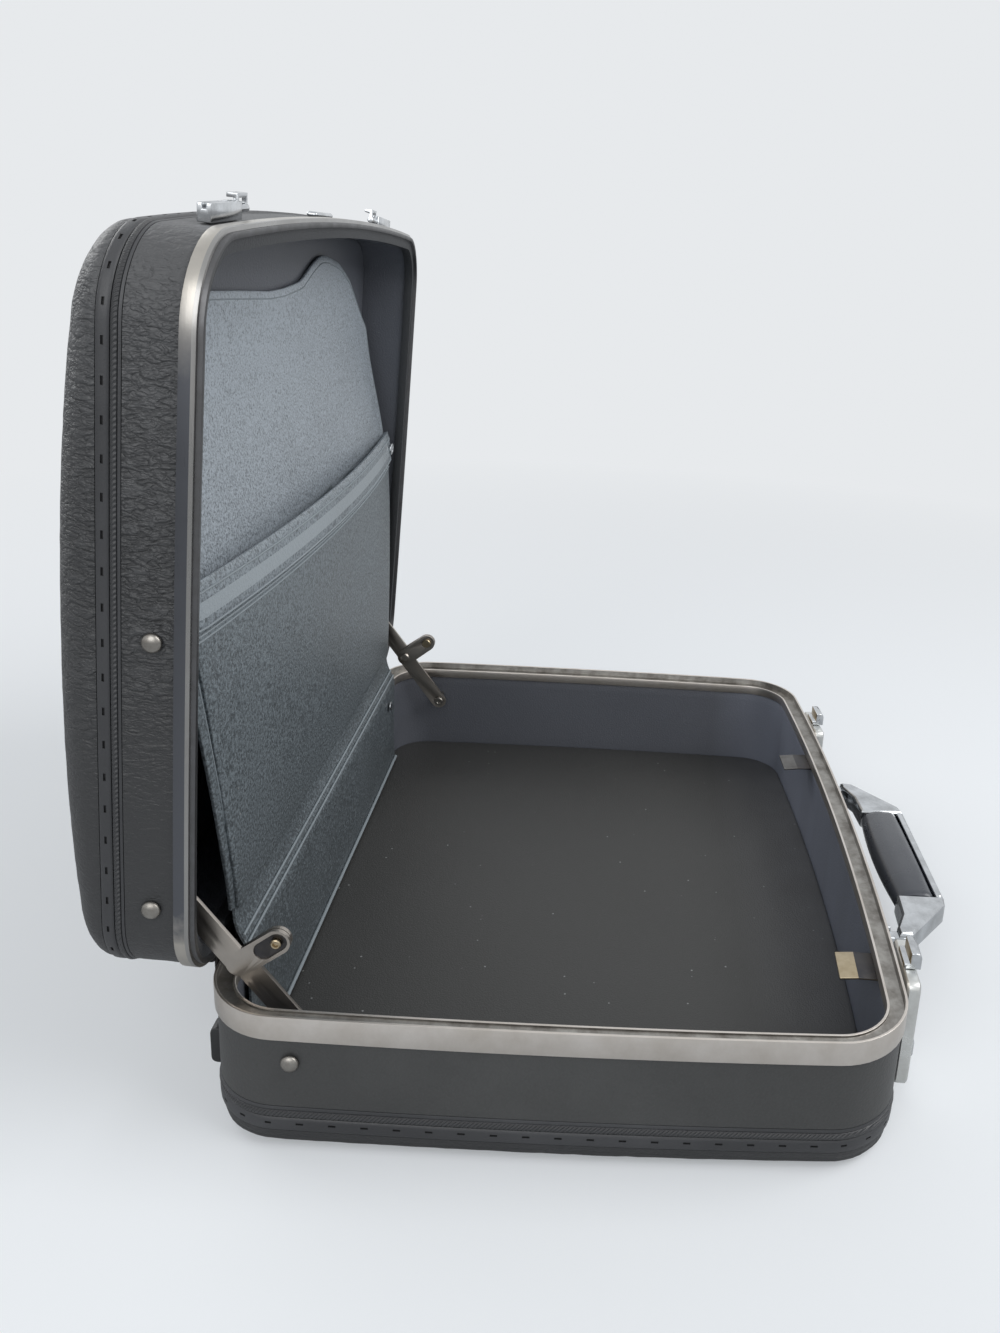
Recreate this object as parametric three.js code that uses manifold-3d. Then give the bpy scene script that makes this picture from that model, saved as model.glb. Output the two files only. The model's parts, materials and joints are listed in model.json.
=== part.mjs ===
// A hard briefcase, standing open on its base: two wooden shells in metal frames,
// joined by a piano hinge and a pair of folding stays, with a document folder in the lid.
// Millimetres. X runs along the case, -Y is the front with the handle, +Y the hinge side,
// and Z = 0 is the underside of the base.
import * as THREE from 'three';
import { mergeVertices } from 'three/addons/utils/BufferGeometryUtils.js';
import Module from 'manifold-3d';

const wasm = await Module();
wasm.setup();

// Overall sizes
const caseLength = 440;
const caseWidth = 330;
const baseDepth = 74;
const cornerRadius = 35;
const endBow = 3.6;
const frontBow = 9.5;
const openAngle = THREE.MathUtils.degToRad(86.3);
const fitGap = 0.3;
const seamGap = 0.4;

// Steps round the plan outline: a corner, a long side, an end
const cornerSteps = 6;
const longSideSteps = 6;
const endSteps = 4;

// Metal frames, as extruded sections
const frameSheet = 1;
const frameWidth = 10;
const rimBead = 1.4;
const channelDepth = 4.2;
const lipWidth = 1.4;
const lipRise = 1.2;
const baseBand = 12.5;
const baseSkirt = 9.5;
const lidBand = 6.5;
const lidSkirt = 5.7;
const tongueSetback = 1.9;
const tongueWidth = 2.4;
const tongueDepth = 2;

// Shell walls, trims and linings
const wallThickness = 3.2;
const trimRecess = 1.7;
const trimProud = 0.6;
const baseCoverHeight = 10.9;
const baseWeltHeight = 5.9;
const baseBindingHeight = 7.1;
const baseWallFace = baseDepth - baseCoverHeight - baseBindingHeight - baseWeltHeight - 3 * fitGap;
const lidWallFace = 27.7;
const lidWeltHeight = 4.2;
const lidBindingHeight = 5.2;
const panelThickness = 1;
const liningThickness = 3.7;
const coverRecess = 6;
const lidCoverRecess = 0.5;
const coverFace = 1.3;
const baseRoll = 14.6;
const lidRoll = 22;
const lidRollRise = 22;
const lidCornerRise = 9;
const lidCornerPower = 2.5;
const lidCrown = 2;
const lidCoverSheet = 4;
const rollSteps = 5;
const crownRings = 4;

// Piano hinge along the back
const hingeLength = caseLength - 2 * cornerRadius;
const hingeOffset = 3.3;
const hingeRise = 3;
const barrelRadius = 3;
const leafThickness = 1.2;
const baseLeafDrop = 11;
const lidLeafRise = 12.4;
const hingePinRadius = 1;
const hingeBore = 1.3;
const knuckleCount = 11;
const knuckleSteps = 8;
const pinOverhang = 1;

// Stays: the pivot in the base, the pivot in the lid, and the two arms
const basePivotSetback = 44;
const basePivotDrop = 24.6;
const lidPivotSetback = 45.3;
const lidPivotDepth = 16.1;
const armThickness = 2;
const armWidth = 11.5;
const earWidth = 12.5;
const armGap = 0.5;
const armInset = 22.5;
const baseArmInner = caseLength / 2 - armInset;
const lidArmInner = baseArmInner + armThickness + armGap;

// Rivets
const rivetRadius = 2;
const rivetHeadRadius = 4.25;
const rivetDome = 3.2;
const rivetTailRadius = 3.5;
const rivetTail = 1.4;
const collarRadius = 3.6;
const bandRivetOffset = 5;
const bandRivetSetback = caseWidth / 2 + bandRivetOffset;
const bandRivetDepth = 15.3;
const bandRivetInset = 16.5;
const bandRivetInner = caseLength / 2 - bandRivetInset;
const roundSteps = 10;
const domeSteps = 3;
const cutOverrun = 5;

// Latches on the base, as seen from the front: width along X, heights above the underside
const latchInset = 70;
const latchOffset = caseLength / 2 - latchInset;
const latchWidth = 42;
const latchBottom = 9;
const latchTopGap = 4.5;
const latchTop = baseDepth - latchTopGap;
const latchStandOff = 3.3;
const latchThickness = 7;
const latchCorner = 4;
const latchBackWidth = 34;
const capWidth = 16;
const capRise = 5;
const capFront = 12;
const capSlot = 6.3;
const capFoot = 3;
const capRound = 3;
const buttonWidth = 16;
const buttonHeight = 11;
const buttonThickness = 3;
const buttonMargin = 10;
const buttonTravel = 8;
const buttonStemWidth = 5;
const buttonStemHeight = 4;
const tabWidth = 22;
const tabSheet = 1.2;
const tabGap = 0.9;
const tabDrop = 9.5;
const tabReach = 10;
const tabTip = 9.5;
const tabTipDrop = 1;
const farTabShift = 61;

// Hasps on the front of the lid, at the latches
const haspLength = 37;
const haspOutset = 7;
const haspHeight = 6;
const haspBottom = 11.5;
const haspGroove = 1.6;
const haspGrooveDepth = 2.5;
const haspNearOffset = 25;
const hookWidth = 13;
const hookReach = 6.5;
const hookBar = 2;
const hookRoot = 4;
const hookLip = 3;
const catchLength = 34;
const catchOutset = 3;

// Handle
const handleLatchGap = 60;
const handleHalfSpan = latchOffset - handleLatchGap;
const handleHeight = 40;
const handleStandOff = 17;
const handlePivotOut = caseWidth / 2 + handleStandOff;
const bracketWidth = 18;
const bracketHeight = 20;
const bracketDepth = 10;
const bracketFace = caseWidth / 2 + bracketDepth;
const earThickness = 2.5;
const earReach = 11;
const earHeight = 12;
const eyeWidth = 7;
const eyeHeight = 8;
const eyeRear = 4;
const pivotPinRadius = 1.6;
const pivotBoreRadius = 1.9;
const handleEndHeight = 14;
const handleEndLength = 38;
const gripHalfLength = handleHalfSpan - handleEndLength;
const gripStandOff = 15;
const gripDepth = 24;
const gripInner = handlePivotOut + gripStandOff;
const gripOuter = gripInner + gripDepth;
const gripHeight = 18;
const gripSwell = 3;
const gripRings = 8;
const gripSides = 12;
const spineThickness = 5;
const spineOuter = gripOuter + spineThickness;
const spineHeight = 14;
const spineChamfer = 1.5;

// Feet on the hinge side of the base
const footInset = 43;
const footOffset = caseLength / 2 - footInset;
const footWidth = 10;
const footBottom = 14;
const footHeight = 20;
const footProud = 7;
const footRound = 3;

// Folder in the lid: setback is measured from the hinge side, depth into the lid
const folderInset = 15;
const folderHalfWidth = caseLength / 2 - folderInset;
const folderFoot = 18;
const folderReach = caseWidth - folderInset;
const folderMaxDepth = 35;
const folderSheet = 2;
const folderDepthShares = [[0.057, -0.17], [0.254, -0.03], [0.444, 0.14], [0.59, 0.34], [0.714, 0.63], [0.81, 0.84],
  [0.92, 0.92], [1, 0.93]];
const folderNearTopShares = [[0, 0.946], [0.12, 0.945], [0.35, 0.952], [0.6, 0.958], [0.76, 0.945],
  [0.854, 0.905], [0.985, 0.841], [1, 0.82]];
const folderTopShares = [[0, 0.946], [0.18, 0.955], [0.3, 0.985], [0.38, 1], [0.46, 1], [0.615, 0.984],
  [0.76, 0.949], [0.854, 0.905], [0.985, 0.841], [1, 0.82]];
const folderWidthShares = [[0.05, 0.86], [0.3, 0.93], [0.55, 1], [1, 1]];
const folderColumns = 16;
const folderRows = 10;
const pocketSheet = 1.6;
const pocketTop = caseWidth / 2;
const pocketSwell = 10;
const pocketMargin = 3;
const pocketRows = 7;
const bandHeight = 22;
const bandSheet = 3;
const snapRadius = 5;
const snapHeight = 2;
const snapInset = 12;
const gussetInset = 44;
const gussetHalfWidth = caseLength / 2 - gussetInset;
const gussetSetback = 11.5;
const gussetSheet = 2;
const gussetRise = 16;
const gussetTop = baseDepth + gussetRise;

// Heights and places that follow from the sizes above
const lidPlane = baseDepth + seamGap;
const wallInset = frameSheet + fitGap;
const wallInner = wallInset + wallThickness;
const trimInset = wallInset + trimRecess;
const trimInner = trimInset - fitGap;
const weltFace = wallInset - trimProud - fitGap;
const coverInset = coverFace + frameSheet / frameWidth;
const liningOuter = wallInner + fitGap;
const liningInner = liningOuter + liningThickness;
const hingeY = caseWidth / 2 + hingeOffset;
const hingeZ = baseDepth + hingeRise;

// The two shells. face is where the frame sits, direction points away from the seam.
const baseShell = {
  face: baseDepth,
  direction: -1,
  wallStart: channelDepth + frameSheet + fitGap,
  wallFace: baseWallFace,
  welt: baseWeltHeight,
  binding: baseBindingHeight,
  coverRecess,
};
const lidShell = {
  face: lidPlane,
  direction: 1,
  wallStart: frameSheet + fitGap,
  wallFace: lidWallFace,
  welt: lidWeltHeight,
  binding: lidBindingHeight,
  coverRecess: lidCoverRecess,
};
for (const shell of [baseShell, lidShell]) {
  shell.weltStart = shell.wallFace + fitGap;
  shell.bindingStart = shell.weltStart + shell.welt + fitGap;
  shell.coverLip = shell.bindingStart + shell.binding + fitGap;
  shell.coverInside = shell.coverLip + (shell === baseShell ? shell.coverRecess : -shell.coverRecess);
  shell.wallEnd = shell.coverInside - fitGap;
}
const underside = baseDepth;

const model = new THREE.Group();
const lidGroup = new THREE.Group();
const lidInside = new THREE.Group();
lidGroup.position.set(0, hingeY, hingeZ);
lidGroup.rotation.x = -openAngle;
lidInside.position.set(0, -hingeY, -hingeZ);
lidGroup.add(lidInside);
model.add(lidGroup);

// Finishes
function finish(color, roughness, metalness) {
  return () => new THREE.MeshStandardMaterial({ color, roughness, metalness });
}
const leatherette = finish(0x24262a, 0.55, 0);
const wrinkledCover = finish(0x1f2124, 0.5, 0);
const pipingBlack = finish(0x17181a, 0.45, 0);
const lining = finish(0x26292c, 0.6, 0);
const floorLining = finish(0x30322f, 0.7, 0);
const folderVinyl = finish(0x3a4247, 0.55, 0);
const satinMetal = finish(0xa8a39b, 0.35, 1);
const steel = finish(0x8f8d8a, 0.3, 1);
const chrome = finish(0xc8cace, 0.12, 1);
const blackMetal = finish(0x1a1a1c, 0.4, 0.8);
const brass = finish(0xb59a63, 0.3, 1);
const blackGloss = finish(0x121316, 0.12, 0);
const blackPlastic = finish(0x151618, 0.5, 0);

function addMesh(parent, name, geometry, material) {
  const mesh = new THREE.Mesh(geometry, material());
  mesh.name = name;
  parent.add(mesh);
  return mesh;
}

// Closed meshes from shared vertices
function signedVolume(points, faces) {
  let sum = 0;
  for (const [i, j, k] of faces) {
    sum += points[i].dot(new THREE.Vector3().crossVectors(points[j], points[k]));
  }
  return sum;
}

function closedMesh(points, faces) {
  const outward = signedVolume(points, faces) > 0;
  const geometry = new THREE.BufferGeometry();
  geometry.setFromPoints(points);
  geometry.setIndex(faces.flatMap(([i, j, k]) => (outward ? [i, j, k] : [i, k, j])));
  geometry.computeVertexNormals();
  return geometry;
}

// Rings of equal count joined one to the next. The first and last are capped at
// a centre point, or joined to each other.
function ringBody(rings, caps) {
  const count = rings[0].length;
  const points = rings.flat();
  const faces = [];
  const bands = caps ? rings.length - 1 : rings.length;
  for (let r = 0; r < bands; r += 1) {
    const here = r * count;
    const there = ((r + 1) % rings.length) * count;
    for (let i = 0; i < count; i += 1) {
      const next = (i + 1) % count;
      faces.push([here + i, here + next, there + next], [here + i, there + next, there + i]);
    }
  }
  if (caps) {
    const last = (rings.length - 1) * count;
    points.push(caps[0], caps[1]);
    for (let i = 0; i < count; i += 1) {
      const next = (i + 1) % count;
      faces.push([points.length - 2, next, i], [points.length - 1, last + i, last + next]);
    }
  }
  return closedMesh(points, faces);
}

// Solids for cutting and joining
function solidOf(geometry) {
  const plain = geometry.clone();
  plain.deleteAttribute('normal');
  plain.deleteAttribute('uv');
  const merged = mergeVertices(plain);
  const vertProperties = new Float32Array(merged.attributes.position.array);
  const triVerts = new Uint32Array(merged.index.array);
  return new wasm.Manifold(new wasm.Mesh({ numProp: 3, vertProperties, triVerts }));
}

function geometryOf(solid) {
  const mesh = solid.getMesh();
  const geometry = new THREE.BufferGeometry();
  geometry.setAttribute('position', new THREE.BufferAttribute(mesh.vertProperties, mesh.numProp));
  geometry.setIndex(new THREE.BufferAttribute(mesh.triVerts, 1));
  geometry.computeVertexNormals();
  return geometry;
}

function joined(first, ...others) {
  return geometryOf(others.reduce((solid, other) => solid.add(solidOf(other)), solidOf(first)));
}

function cut(body, ...cutters) {
  return geometryOf(cutters.reduce((solid, cutter) => solid.subtract(solidOf(cutter)), solidOf(body)));
}

// Basic shapes placed by their corners
function block(x0, x1, y0, y1, z0, z1) {
  const box = new THREE.BoxGeometry(Math.abs(x1 - x0), Math.abs(y1 - y0), Math.abs(z1 - z0));
  return box.translate((x0 + x1) / 2, (y0 + y1) / 2, (z0 + z1) / 2);
}

function rodAlongX(radius, x0, x1, y, z, steps = roundSteps) {
  const rod = new THREE.CylinderGeometry(radius, radius, Math.abs(x1 - x0), steps);
  return rod.rotateZ(Math.PI / 2).translate((x0 + x1) / 2, y, z);
}

// A shape drawn in Y and Z, run along X
function alongX(shape, x0, x1) {
  const body = new THREE.ExtrudeGeometry(shape, { depth: Math.abs(x1 - x0), bevelEnabled: false });
  const turn = new THREE.Matrix4().set(0, 0, 1, Math.min(x0, x1), 1, 0, 0, 0, 0, 1, 0, 0, 0, 0, 0, 1);
  return body.applyMatrix4(turn);
}

// A shape drawn in X and Z, run from y0 towards -Y
function alongFront(shape, y0, thickness, bevel = 0) {
  const settings = { depth: thickness - 2 * bevel, bevelEnabled: bevel > 0, bevelSize: bevel, bevelOffset: -bevel };
  const body = new THREE.ExtrudeGeometry(shape, { ...settings, bevelThickness: bevel, bevelSegments: 1 });
  return body.translate(0, 0, bevel).applyMatrix4(new THREE.Matrix4().set(
    1, 0, 0, 0,
    0, 0, -1, y0,
    0, 1, 0, 0,
    0, 0, 0, 1,
  ));
}

function shapeOf(points) {
  return new THREE.Shape(points.map(([a, b]) => new THREE.Vector2(a, b)));
}

function roundedRectangle(x0, x1, z0, z1, radius) {
  const shape = new THREE.Shape();
  shape.absarc(x1 - radius, z0 + radius, radius, -Math.PI / 2, 0);
  shape.absarc(x1 - radius, z1 - radius, radius, 0, Math.PI / 2);
  shape.absarc(x0 + radius, z1 - radius, radius, Math.PI / 2, Math.PI);
  shape.absarc(x0 + radius, z0 + radius, radius, Math.PI, 1.5 * Math.PI);
  return new THREE.Shape(shape.getPoints(2));
}

function arcPoints(centre, radius, start, end, steps) {
  const points = [];
  for (let i = 0; i <= steps; i += 1) {
    const angle = start + ((end - start) * i) / steps;
    points.push([centre[0] + radius * Math.cos(angle), centre[1] + radius * Math.sin(angle)]);
  }
  return points;
}

// The plan outline of the case, drawn in by inset. The front and the ends bow outwards.
function bowed(x, y, inset) {
  const a = caseLength / 2 - inset;
  const b = caseWidth / 2 - inset;
  const front = y < 0 ? 1 + (frontBow / b) * (1 - (x / a) ** 2) : 1;
  const end = 1 + (endBow / a) * (1 - (y / b) ** 2);
  return [x * end, y * front];
}

function planOutline(inset) {
  const a = caseLength / 2 - inset;
  const b = caseWidth / 2 - inset;
  const r = cornerRadius - inset;
  const corners = [[a - r, b - r], [r - a, b - r], [r - a, r - b], [a - r, r - b]];
  const sides = [longSideSteps, endSteps, longSideSteps, endSteps];
  const points = [];
  corners.forEach((centre, k) => {
    const start = (k * Math.PI) / 2;
    const arc = arcPoints(centre, r, start, start + Math.PI / 2, cornerSteps);
    const from = arc[arc.length - 1];
    const to = arcPoints(corners[(k + 1) % corners.length], r, start + Math.PI / 2, start + Math.PI, 1)[0];
    points.push(...arc);
    for (let i = 1; i < sides[k]; i += 1) {
      const share = i / sides[k];
      points.push([from[0] + (to[0] - from[0]) * share, from[1] + (to[1] - from[1]) * share]);
    }
  });
  return points.map(([x, y]) => bowed(x, y, inset));
}

function planRing(inset, z, share = 1) {
  return planOutline(inset).map(([x, y]) => new THREE.Vector3(x * share, y * share, z));
}

function endFaceX(y, inset) {
  return bowed(caseLength / 2 - inset, y, inset)[0];
}

function frontFaceY(x, inset) {
  return bowed(x, inset - caseWidth / 2, inset)[1];
}

// Shell parts: profiles are pairs of inset and distance from the seam face
function shellBand(shell, profile) {
  return ringBody(profile.map(([inset, s]) => planRing(inset, shell.face + shell.direction * s)), null);
}

function wallBand(shell) {
  return shellBand(shell, [
    [wallInset, shell.wallStart], [wallInset, shell.wallFace], [trimInset, shell.wallFace],
    [trimInset, shell.wallEnd], [wallInner, shell.wallEnd], [wallInner, shell.wallStart],
  ]);
}

// The piping welt is a half round, the binding a flat strip under it
function weltBand(shell) {
  const middle = shell.weltStart + shell.welt / 2;
  const proud = trimInner - weltFace;
  const round = arcPoints([0, 0], 1, -Math.PI / 2, Math.PI / 2, 4);
  return shellBand(shell, round.map(([c, s]) => [trimInner - proud * c, middle + (shell.welt / 2) * s]));
}

function bindingBand(shell) {
  const start = shell.bindingStart;
  const end = start + shell.binding;
  const face = wallInset - fitGap;
  const slope = shell.binding / 4;
  return shellBand(shell, [[trimInner, start], [face, start], [face - fitGap, start + slope], [face, end - slope],
    [face + fitGap, end], [trimInner, end]]);
}

function liningBand(shell) {
  const end = shell.wallEnd;
  return shellBand(shell, [[liningOuter, shell.wallStart], [liningInner, shell.wallStart], [liningInner, end],
    [liningOuter, end]]);
}

function liningPanel(shell) {
  const inset = liningInner + fitGap;
  const near = shell.face + shell.direction * (shell.wallEnd - panelThickness);
  const far = shell.face + shell.direction * shell.wallEnd;
  const rings = [planRing(inset, near), planRing(inset, far)];
  return ringBody(rings, [new THREE.Vector3(0, 0, near), new THREE.Vector3(0, 0, far)]);
}

// Outer panels: a lip over the wall, a rolled edge, then a flat or crowned face. A padded cover
// rises less at its corners than at the middle of its sides, and is hollow inside.
function outerPanel(shell, roll, rise, crown, cornerRise = rise, sheet = 0) {
  const at = (s) => shell.face + shell.direction * s;
  const raised = (inset, lift, share = 1, swell = 1) => planOutline(inset).map(([x, y]) => {
    const corner = Math.min(1, Math.abs((4 * x * y * share * share) / (caseLength * caseWidth))) ** lidCornerPower;
    const height = (rise - (rise - cornerRise) * corner) * swell + lift;
    return new THREE.Vector3(x * share, y * share, at(shell.coverLip + height));
  });
  const surface = (depth) => {
    const swell = (rise - depth) / rise;
    const lift = depth > 0 ? -recess : 0;
    const made = [];
    for (let i = 0; i <= rollSteps; i += 1) {
      const angle = (i / rollSteps) * (Math.PI / 2);
      made.push(raised(coverInset + depth + (roll - depth) * (1 - Math.cos(angle)), lift, 1, swell * Math.sin(angle)));
    }
    for (let i = 1; i < crownRings && crown > 0; i += 1) {
      const share = 1 - i / crownRings;
      made.push(raised(coverInset + roll, lift + crown * (1 - share ** 2), share, swell));
    }
    return made;
  };
  const recess = Math.abs(shell.coverLip - shell.coverInside);
  const under = sheet > 0 ? surface(sheet).reverse() : [];
  const rings = [...under, planRing(trimInner, at(shell.coverInside)), planRing(trimInner, at(shell.coverLip)),
    ...surface(0)];
  const inside = sheet > 0 ? rise - sheet - recess + crown : shell.coverInside - shell.coverLip;
  return ringBody(rings, [new THREE.Vector3(0, 0, at(shell.coverLip + inside)),
    new THREE.Vector3(0, 0, at(shell.coverLip + rise + crown))]);
}

// Frames
function baseFrameBand() {
  const web = channelDepth + frameSheet;
  const inner = frameWidth - lipWidth;
  return shellBand(baseShell, [
    [0, 0], [rimBead, 0], [rimBead, channelDepth], [inner, channelDepth], [inner, channelDepth - lipRise],
    [frameWidth, channelDepth - lipRise], [frameWidth, baseSkirt], [frameWidth - frameSheet, baseSkirt],
    [frameWidth - frameSheet, web], [frameSheet, web], [frameSheet, baseBand], [0, baseBand],
  ]);
}

function lidFrameBand() {
  const tongueEnd = tongueSetback + tongueWidth;
  return shellBand(lidShell, [
    [0, 0], [tongueSetback, 0], [tongueSetback, -tongueDepth], [tongueEnd, -tongueDepth], [tongueEnd, 0],
    [frameWidth, 0], [frameWidth, lidSkirt], [frameWidth - frameSheet, lidSkirt],
    [frameWidth - frameSheet, frameSheet], [frameSheet, frameSheet], [frameSheet, lidBand], [0, lidBand],
  ]);
}

// Stay geometry, worked out from the pivots: with the base pivot, the hinge, the lid pivot and
// the knee at the corners of a parallelogram, the base arm turns with the lid and the lid arm
// keeps its direction.
const basePivot = [caseWidth / 2 - basePivotSetback, baseDepth - basePivotDrop];
const lidPivotShut = [caseWidth / 2 - lidPivotSetback, lidPlane + lidPivotDepth];

function opened([y, z]) {
  const dy = y - hingeY;
  const dz = z - hingeZ;
  const cos = Math.cos(openAngle);
  const sin = Math.sin(openAngle);
  return [hingeY + dy * cos + dz * sin, hingeZ - dy * sin + dz * cos];
}

const lidPivot = opened(lidPivotShut);
const knee = [basePivot[0] + lidPivot[0] - hingeY, basePivot[1] + lidPivot[1] - hingeZ];
const stayDirection = new THREE.Vector2(lidPivot[0] - basePivot[0], lidPivot[1] - basePivot[1]).normalize();
const kneeAlong = (knee[0] - basePivot[0]) * stayDirection.x + (knee[1] - basePivot[1]) * stayDirection.y;
const elbow = [basePivot[0] + kneeAlong * stayDirection.x, basePivot[1] + kneeAlong * stayDirection.y];
const kneeReach = Math.hypot(knee[0] - elbow[0], knee[1] - elbow[1]);

// An arm from its pivot to the elbow, with an ear square to it that holds the knee
function armShape(pivot) {
  const reach = Math.hypot(elbow[0] - pivot[0], elbow[1] - pivot[1]);
  const along = [(elbow[0] - pivot[0]) / reach, (elbow[1] - pivot[1]) / reach];
  const across = [(knee[0] - elbow[0]) / kneeReach, (knee[1] - elbow[1]) / kneeReach];
  const half = armWidth / 2;
  const ear = earWidth / 2;
  const quarter = Math.PI / 2;
  const local = [
    ...arcPoints([0, 0], half, quarter, 3 * quarter, roundSteps / 2),
    ...arcPoints([reach, 0], half, -quarter, 0, roundSteps / 4),
    ...arcPoints([reach + half - ear, kneeReach], ear, 0, 2 * quarter, roundSteps / 2),
    [reach + half - 2 * ear, half],
  ];
  return shapeOf(local.map(([s, t]) => [
    pivot[0] + s * along[0] + t * across[0],
    pivot[1] + s * along[1] + t * across[1],
  ]));
}

function armPlate(pivot, inner, side, holes) {
  const outer = inner + armThickness;
  const plate = alongX(armShape(pivot), side * inner, side * outer);
  const reach = rivetRadius + fitGap;
  const cutters = holes.map(([y, z]) => rodAlongX(reach, side * (inner - cutOverrun), side * (outer + cutOverrun), y, z));
  return cut(plate, ...cutters);
}

// A turned body along X from pairs of radius and x, on side +1 or -1
function turnedAlongX(profile, y, z, side) {
  const points = profile.map(([r, x]) => new THREE.Vector2(r, x));
  const body = new THREE.LatheGeometry(points, roundSteps);
  const plain = body.rotateZ(-Math.PI / 2);
  if (side < 0) {
    plain.rotateY(Math.PI);
  }
  plain.translate(0, y, z);
  const solid = solidOf(plain);
  return geometryOf(solid);
}

function domeProfile(radius, height, x) {
  return arcPoints([0, 0], 1, 0, Math.PI / 2, domeSteps).map(([c, s]) => [radius * c, x + height * s]);
}

// A rivet through an end wall: dome outside, shank, collar, and a tail inside the arm at armX
function wallRivet(pivot, wallX, collarFrom, armX, tailX) {
  return [
    [0, tailX], [rivetTailRadius, tailX], [rivetTailRadius, tailX + rivetTail], [rivetRadius, tailX + rivetTail],
    [rivetRadius, armX], [collarRadius, armX], [collarRadius, collarFrom], [rivetRadius, collarFrom],
    [rivetRadius, wallX], ...domeProfile(rivetHeadRadius, rivetDome, wallX),
  ];
}

function rivetHole(y, z, side) {
  const from = side * (bandRivetInner - cutOverrun);
  const to = side * (caseLength / 2 + endBow + cutOverrun);
  return rodAlongX(rivetRadius + fitGap, from, to, y, z);
}

// Hinge leaves: a flat strip, and knuckles on every second place along the barrel
function hingeLeaf(first, plateFrom, plateTo, tabFrom, tabTo) {
  const half = hingeLength / 2;
  const back = caseWidth / 2 + fitGap;
  const pitch = hingeLength / knuckleCount;
  const parts = [];
  for (let i = first; i < knuckleCount; i += 2) {
    const start = -half + i * pitch + fitGap / 2;
    const end = start + pitch - fitGap;
    const ring = new THREE.Shape(arcPoints([hingeY, hingeZ], barrelRadius, 0, 2 * Math.PI, knuckleSteps)
      .slice(0, knuckleSteps).map(([y, z]) => new THREE.Vector2(y, z)));
    parts.push(alongX(ring, start, end));
    parts.push(block(start, end, back, back + leafThickness, tabFrom, tabTo));
  }
  const leaf = joined(block(-half, half, back, back + leafThickness, plateFrom, plateTo), ...parts);
  return cut(leaf, rodAlongX(hingeBore, -half - cutOverrun, half + cutOverrun, hingeY, hingeZ, knuckleSteps));
}

// Base: shell, trims, frame and linings
const basePivotHoles = [1, -1].map((side) => rivetHole(basePivot[0], basePivot[1], side));
addMesh(model, 'base_wall', cut(wallBand(baseShell), ...basePivotHoles), leatherette);
addMesh(model, 'base_bottom_cover', outerPanel(baseShell, baseRoll, underside - baseShell.coverLip, 0), wrinkledCover);
addMesh(model, 'base_welt', weltBand(baseShell), pipingBlack);
addMesh(model, 'base_binding', bindingBand(baseShell), pipingBlack);
addMesh(model, 'base_frame', baseFrameBand(), satinMetal);
addMesh(model, 'base_lining_wall', cut(liningBand(baseShell), ...basePivotHoles), lining);
addMesh(model, 'base_floor_panel', liningPanel(baseShell), floorLining);

// Lid: the same parts, with a crowned and padded cover
const lidHoles = [1, -1].flatMap((side) => [
  rivetHole(lidPivotShut[0], lidPivotShut[1], side),
  rivetHole(caseWidth / 2 - bandRivetSetback, lidPlane + bandRivetDepth, side),
]);
addMesh(lidInside, 'lid_wall', cut(wallBand(lidShell), ...lidHoles), leatherette);
addMesh(lidInside, 'lid_cover', outerPanel(lidShell, lidRoll, lidRollRise, lidCrown, lidCornerRise,
  lidCoverSheet), wrinkledCover);
addMesh(lidInside, 'lid_welt', weltBand(lidShell), pipingBlack);
addMesh(lidInside, 'lid_binding', bindingBand(lidShell), pipingBlack);
addMesh(lidInside, 'lid_frame', lidFrameBand(), satinMetal);
addMesh(lidInside, 'lid_lining_wall', cut(liningBand(lidShell), ...lidHoles), lining);
addMesh(lidInside, 'lid_lining_panel', liningPanel(lidShell), lining);

// Hinge
const barrelFoot = hingeZ - barrelRadius;
const lidLeafFoot = hingeZ + barrelRadius;
addMesh(model, 'base_hinge_leaf', hingeLeaf(0, baseDepth - baseLeafDrop, barrelFoot, barrelFoot - leafThickness,
  hingeZ), blackMetal);
addMesh(lidInside, 'lid_hinge_leaf', hingeLeaf(1, lidLeafFoot, baseDepth + lidLeafRise, hingeZ,
  lidLeafFoot + leafThickness), blackMetal);
const pinEnd = hingeLength / 2 + pinOverhang;
addMesh(model, 'hinge_pin', rodAlongX(hingePinRadius, -pinEnd, pinEnd, hingeY, hingeZ, knuckleSteps), steel);

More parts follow.
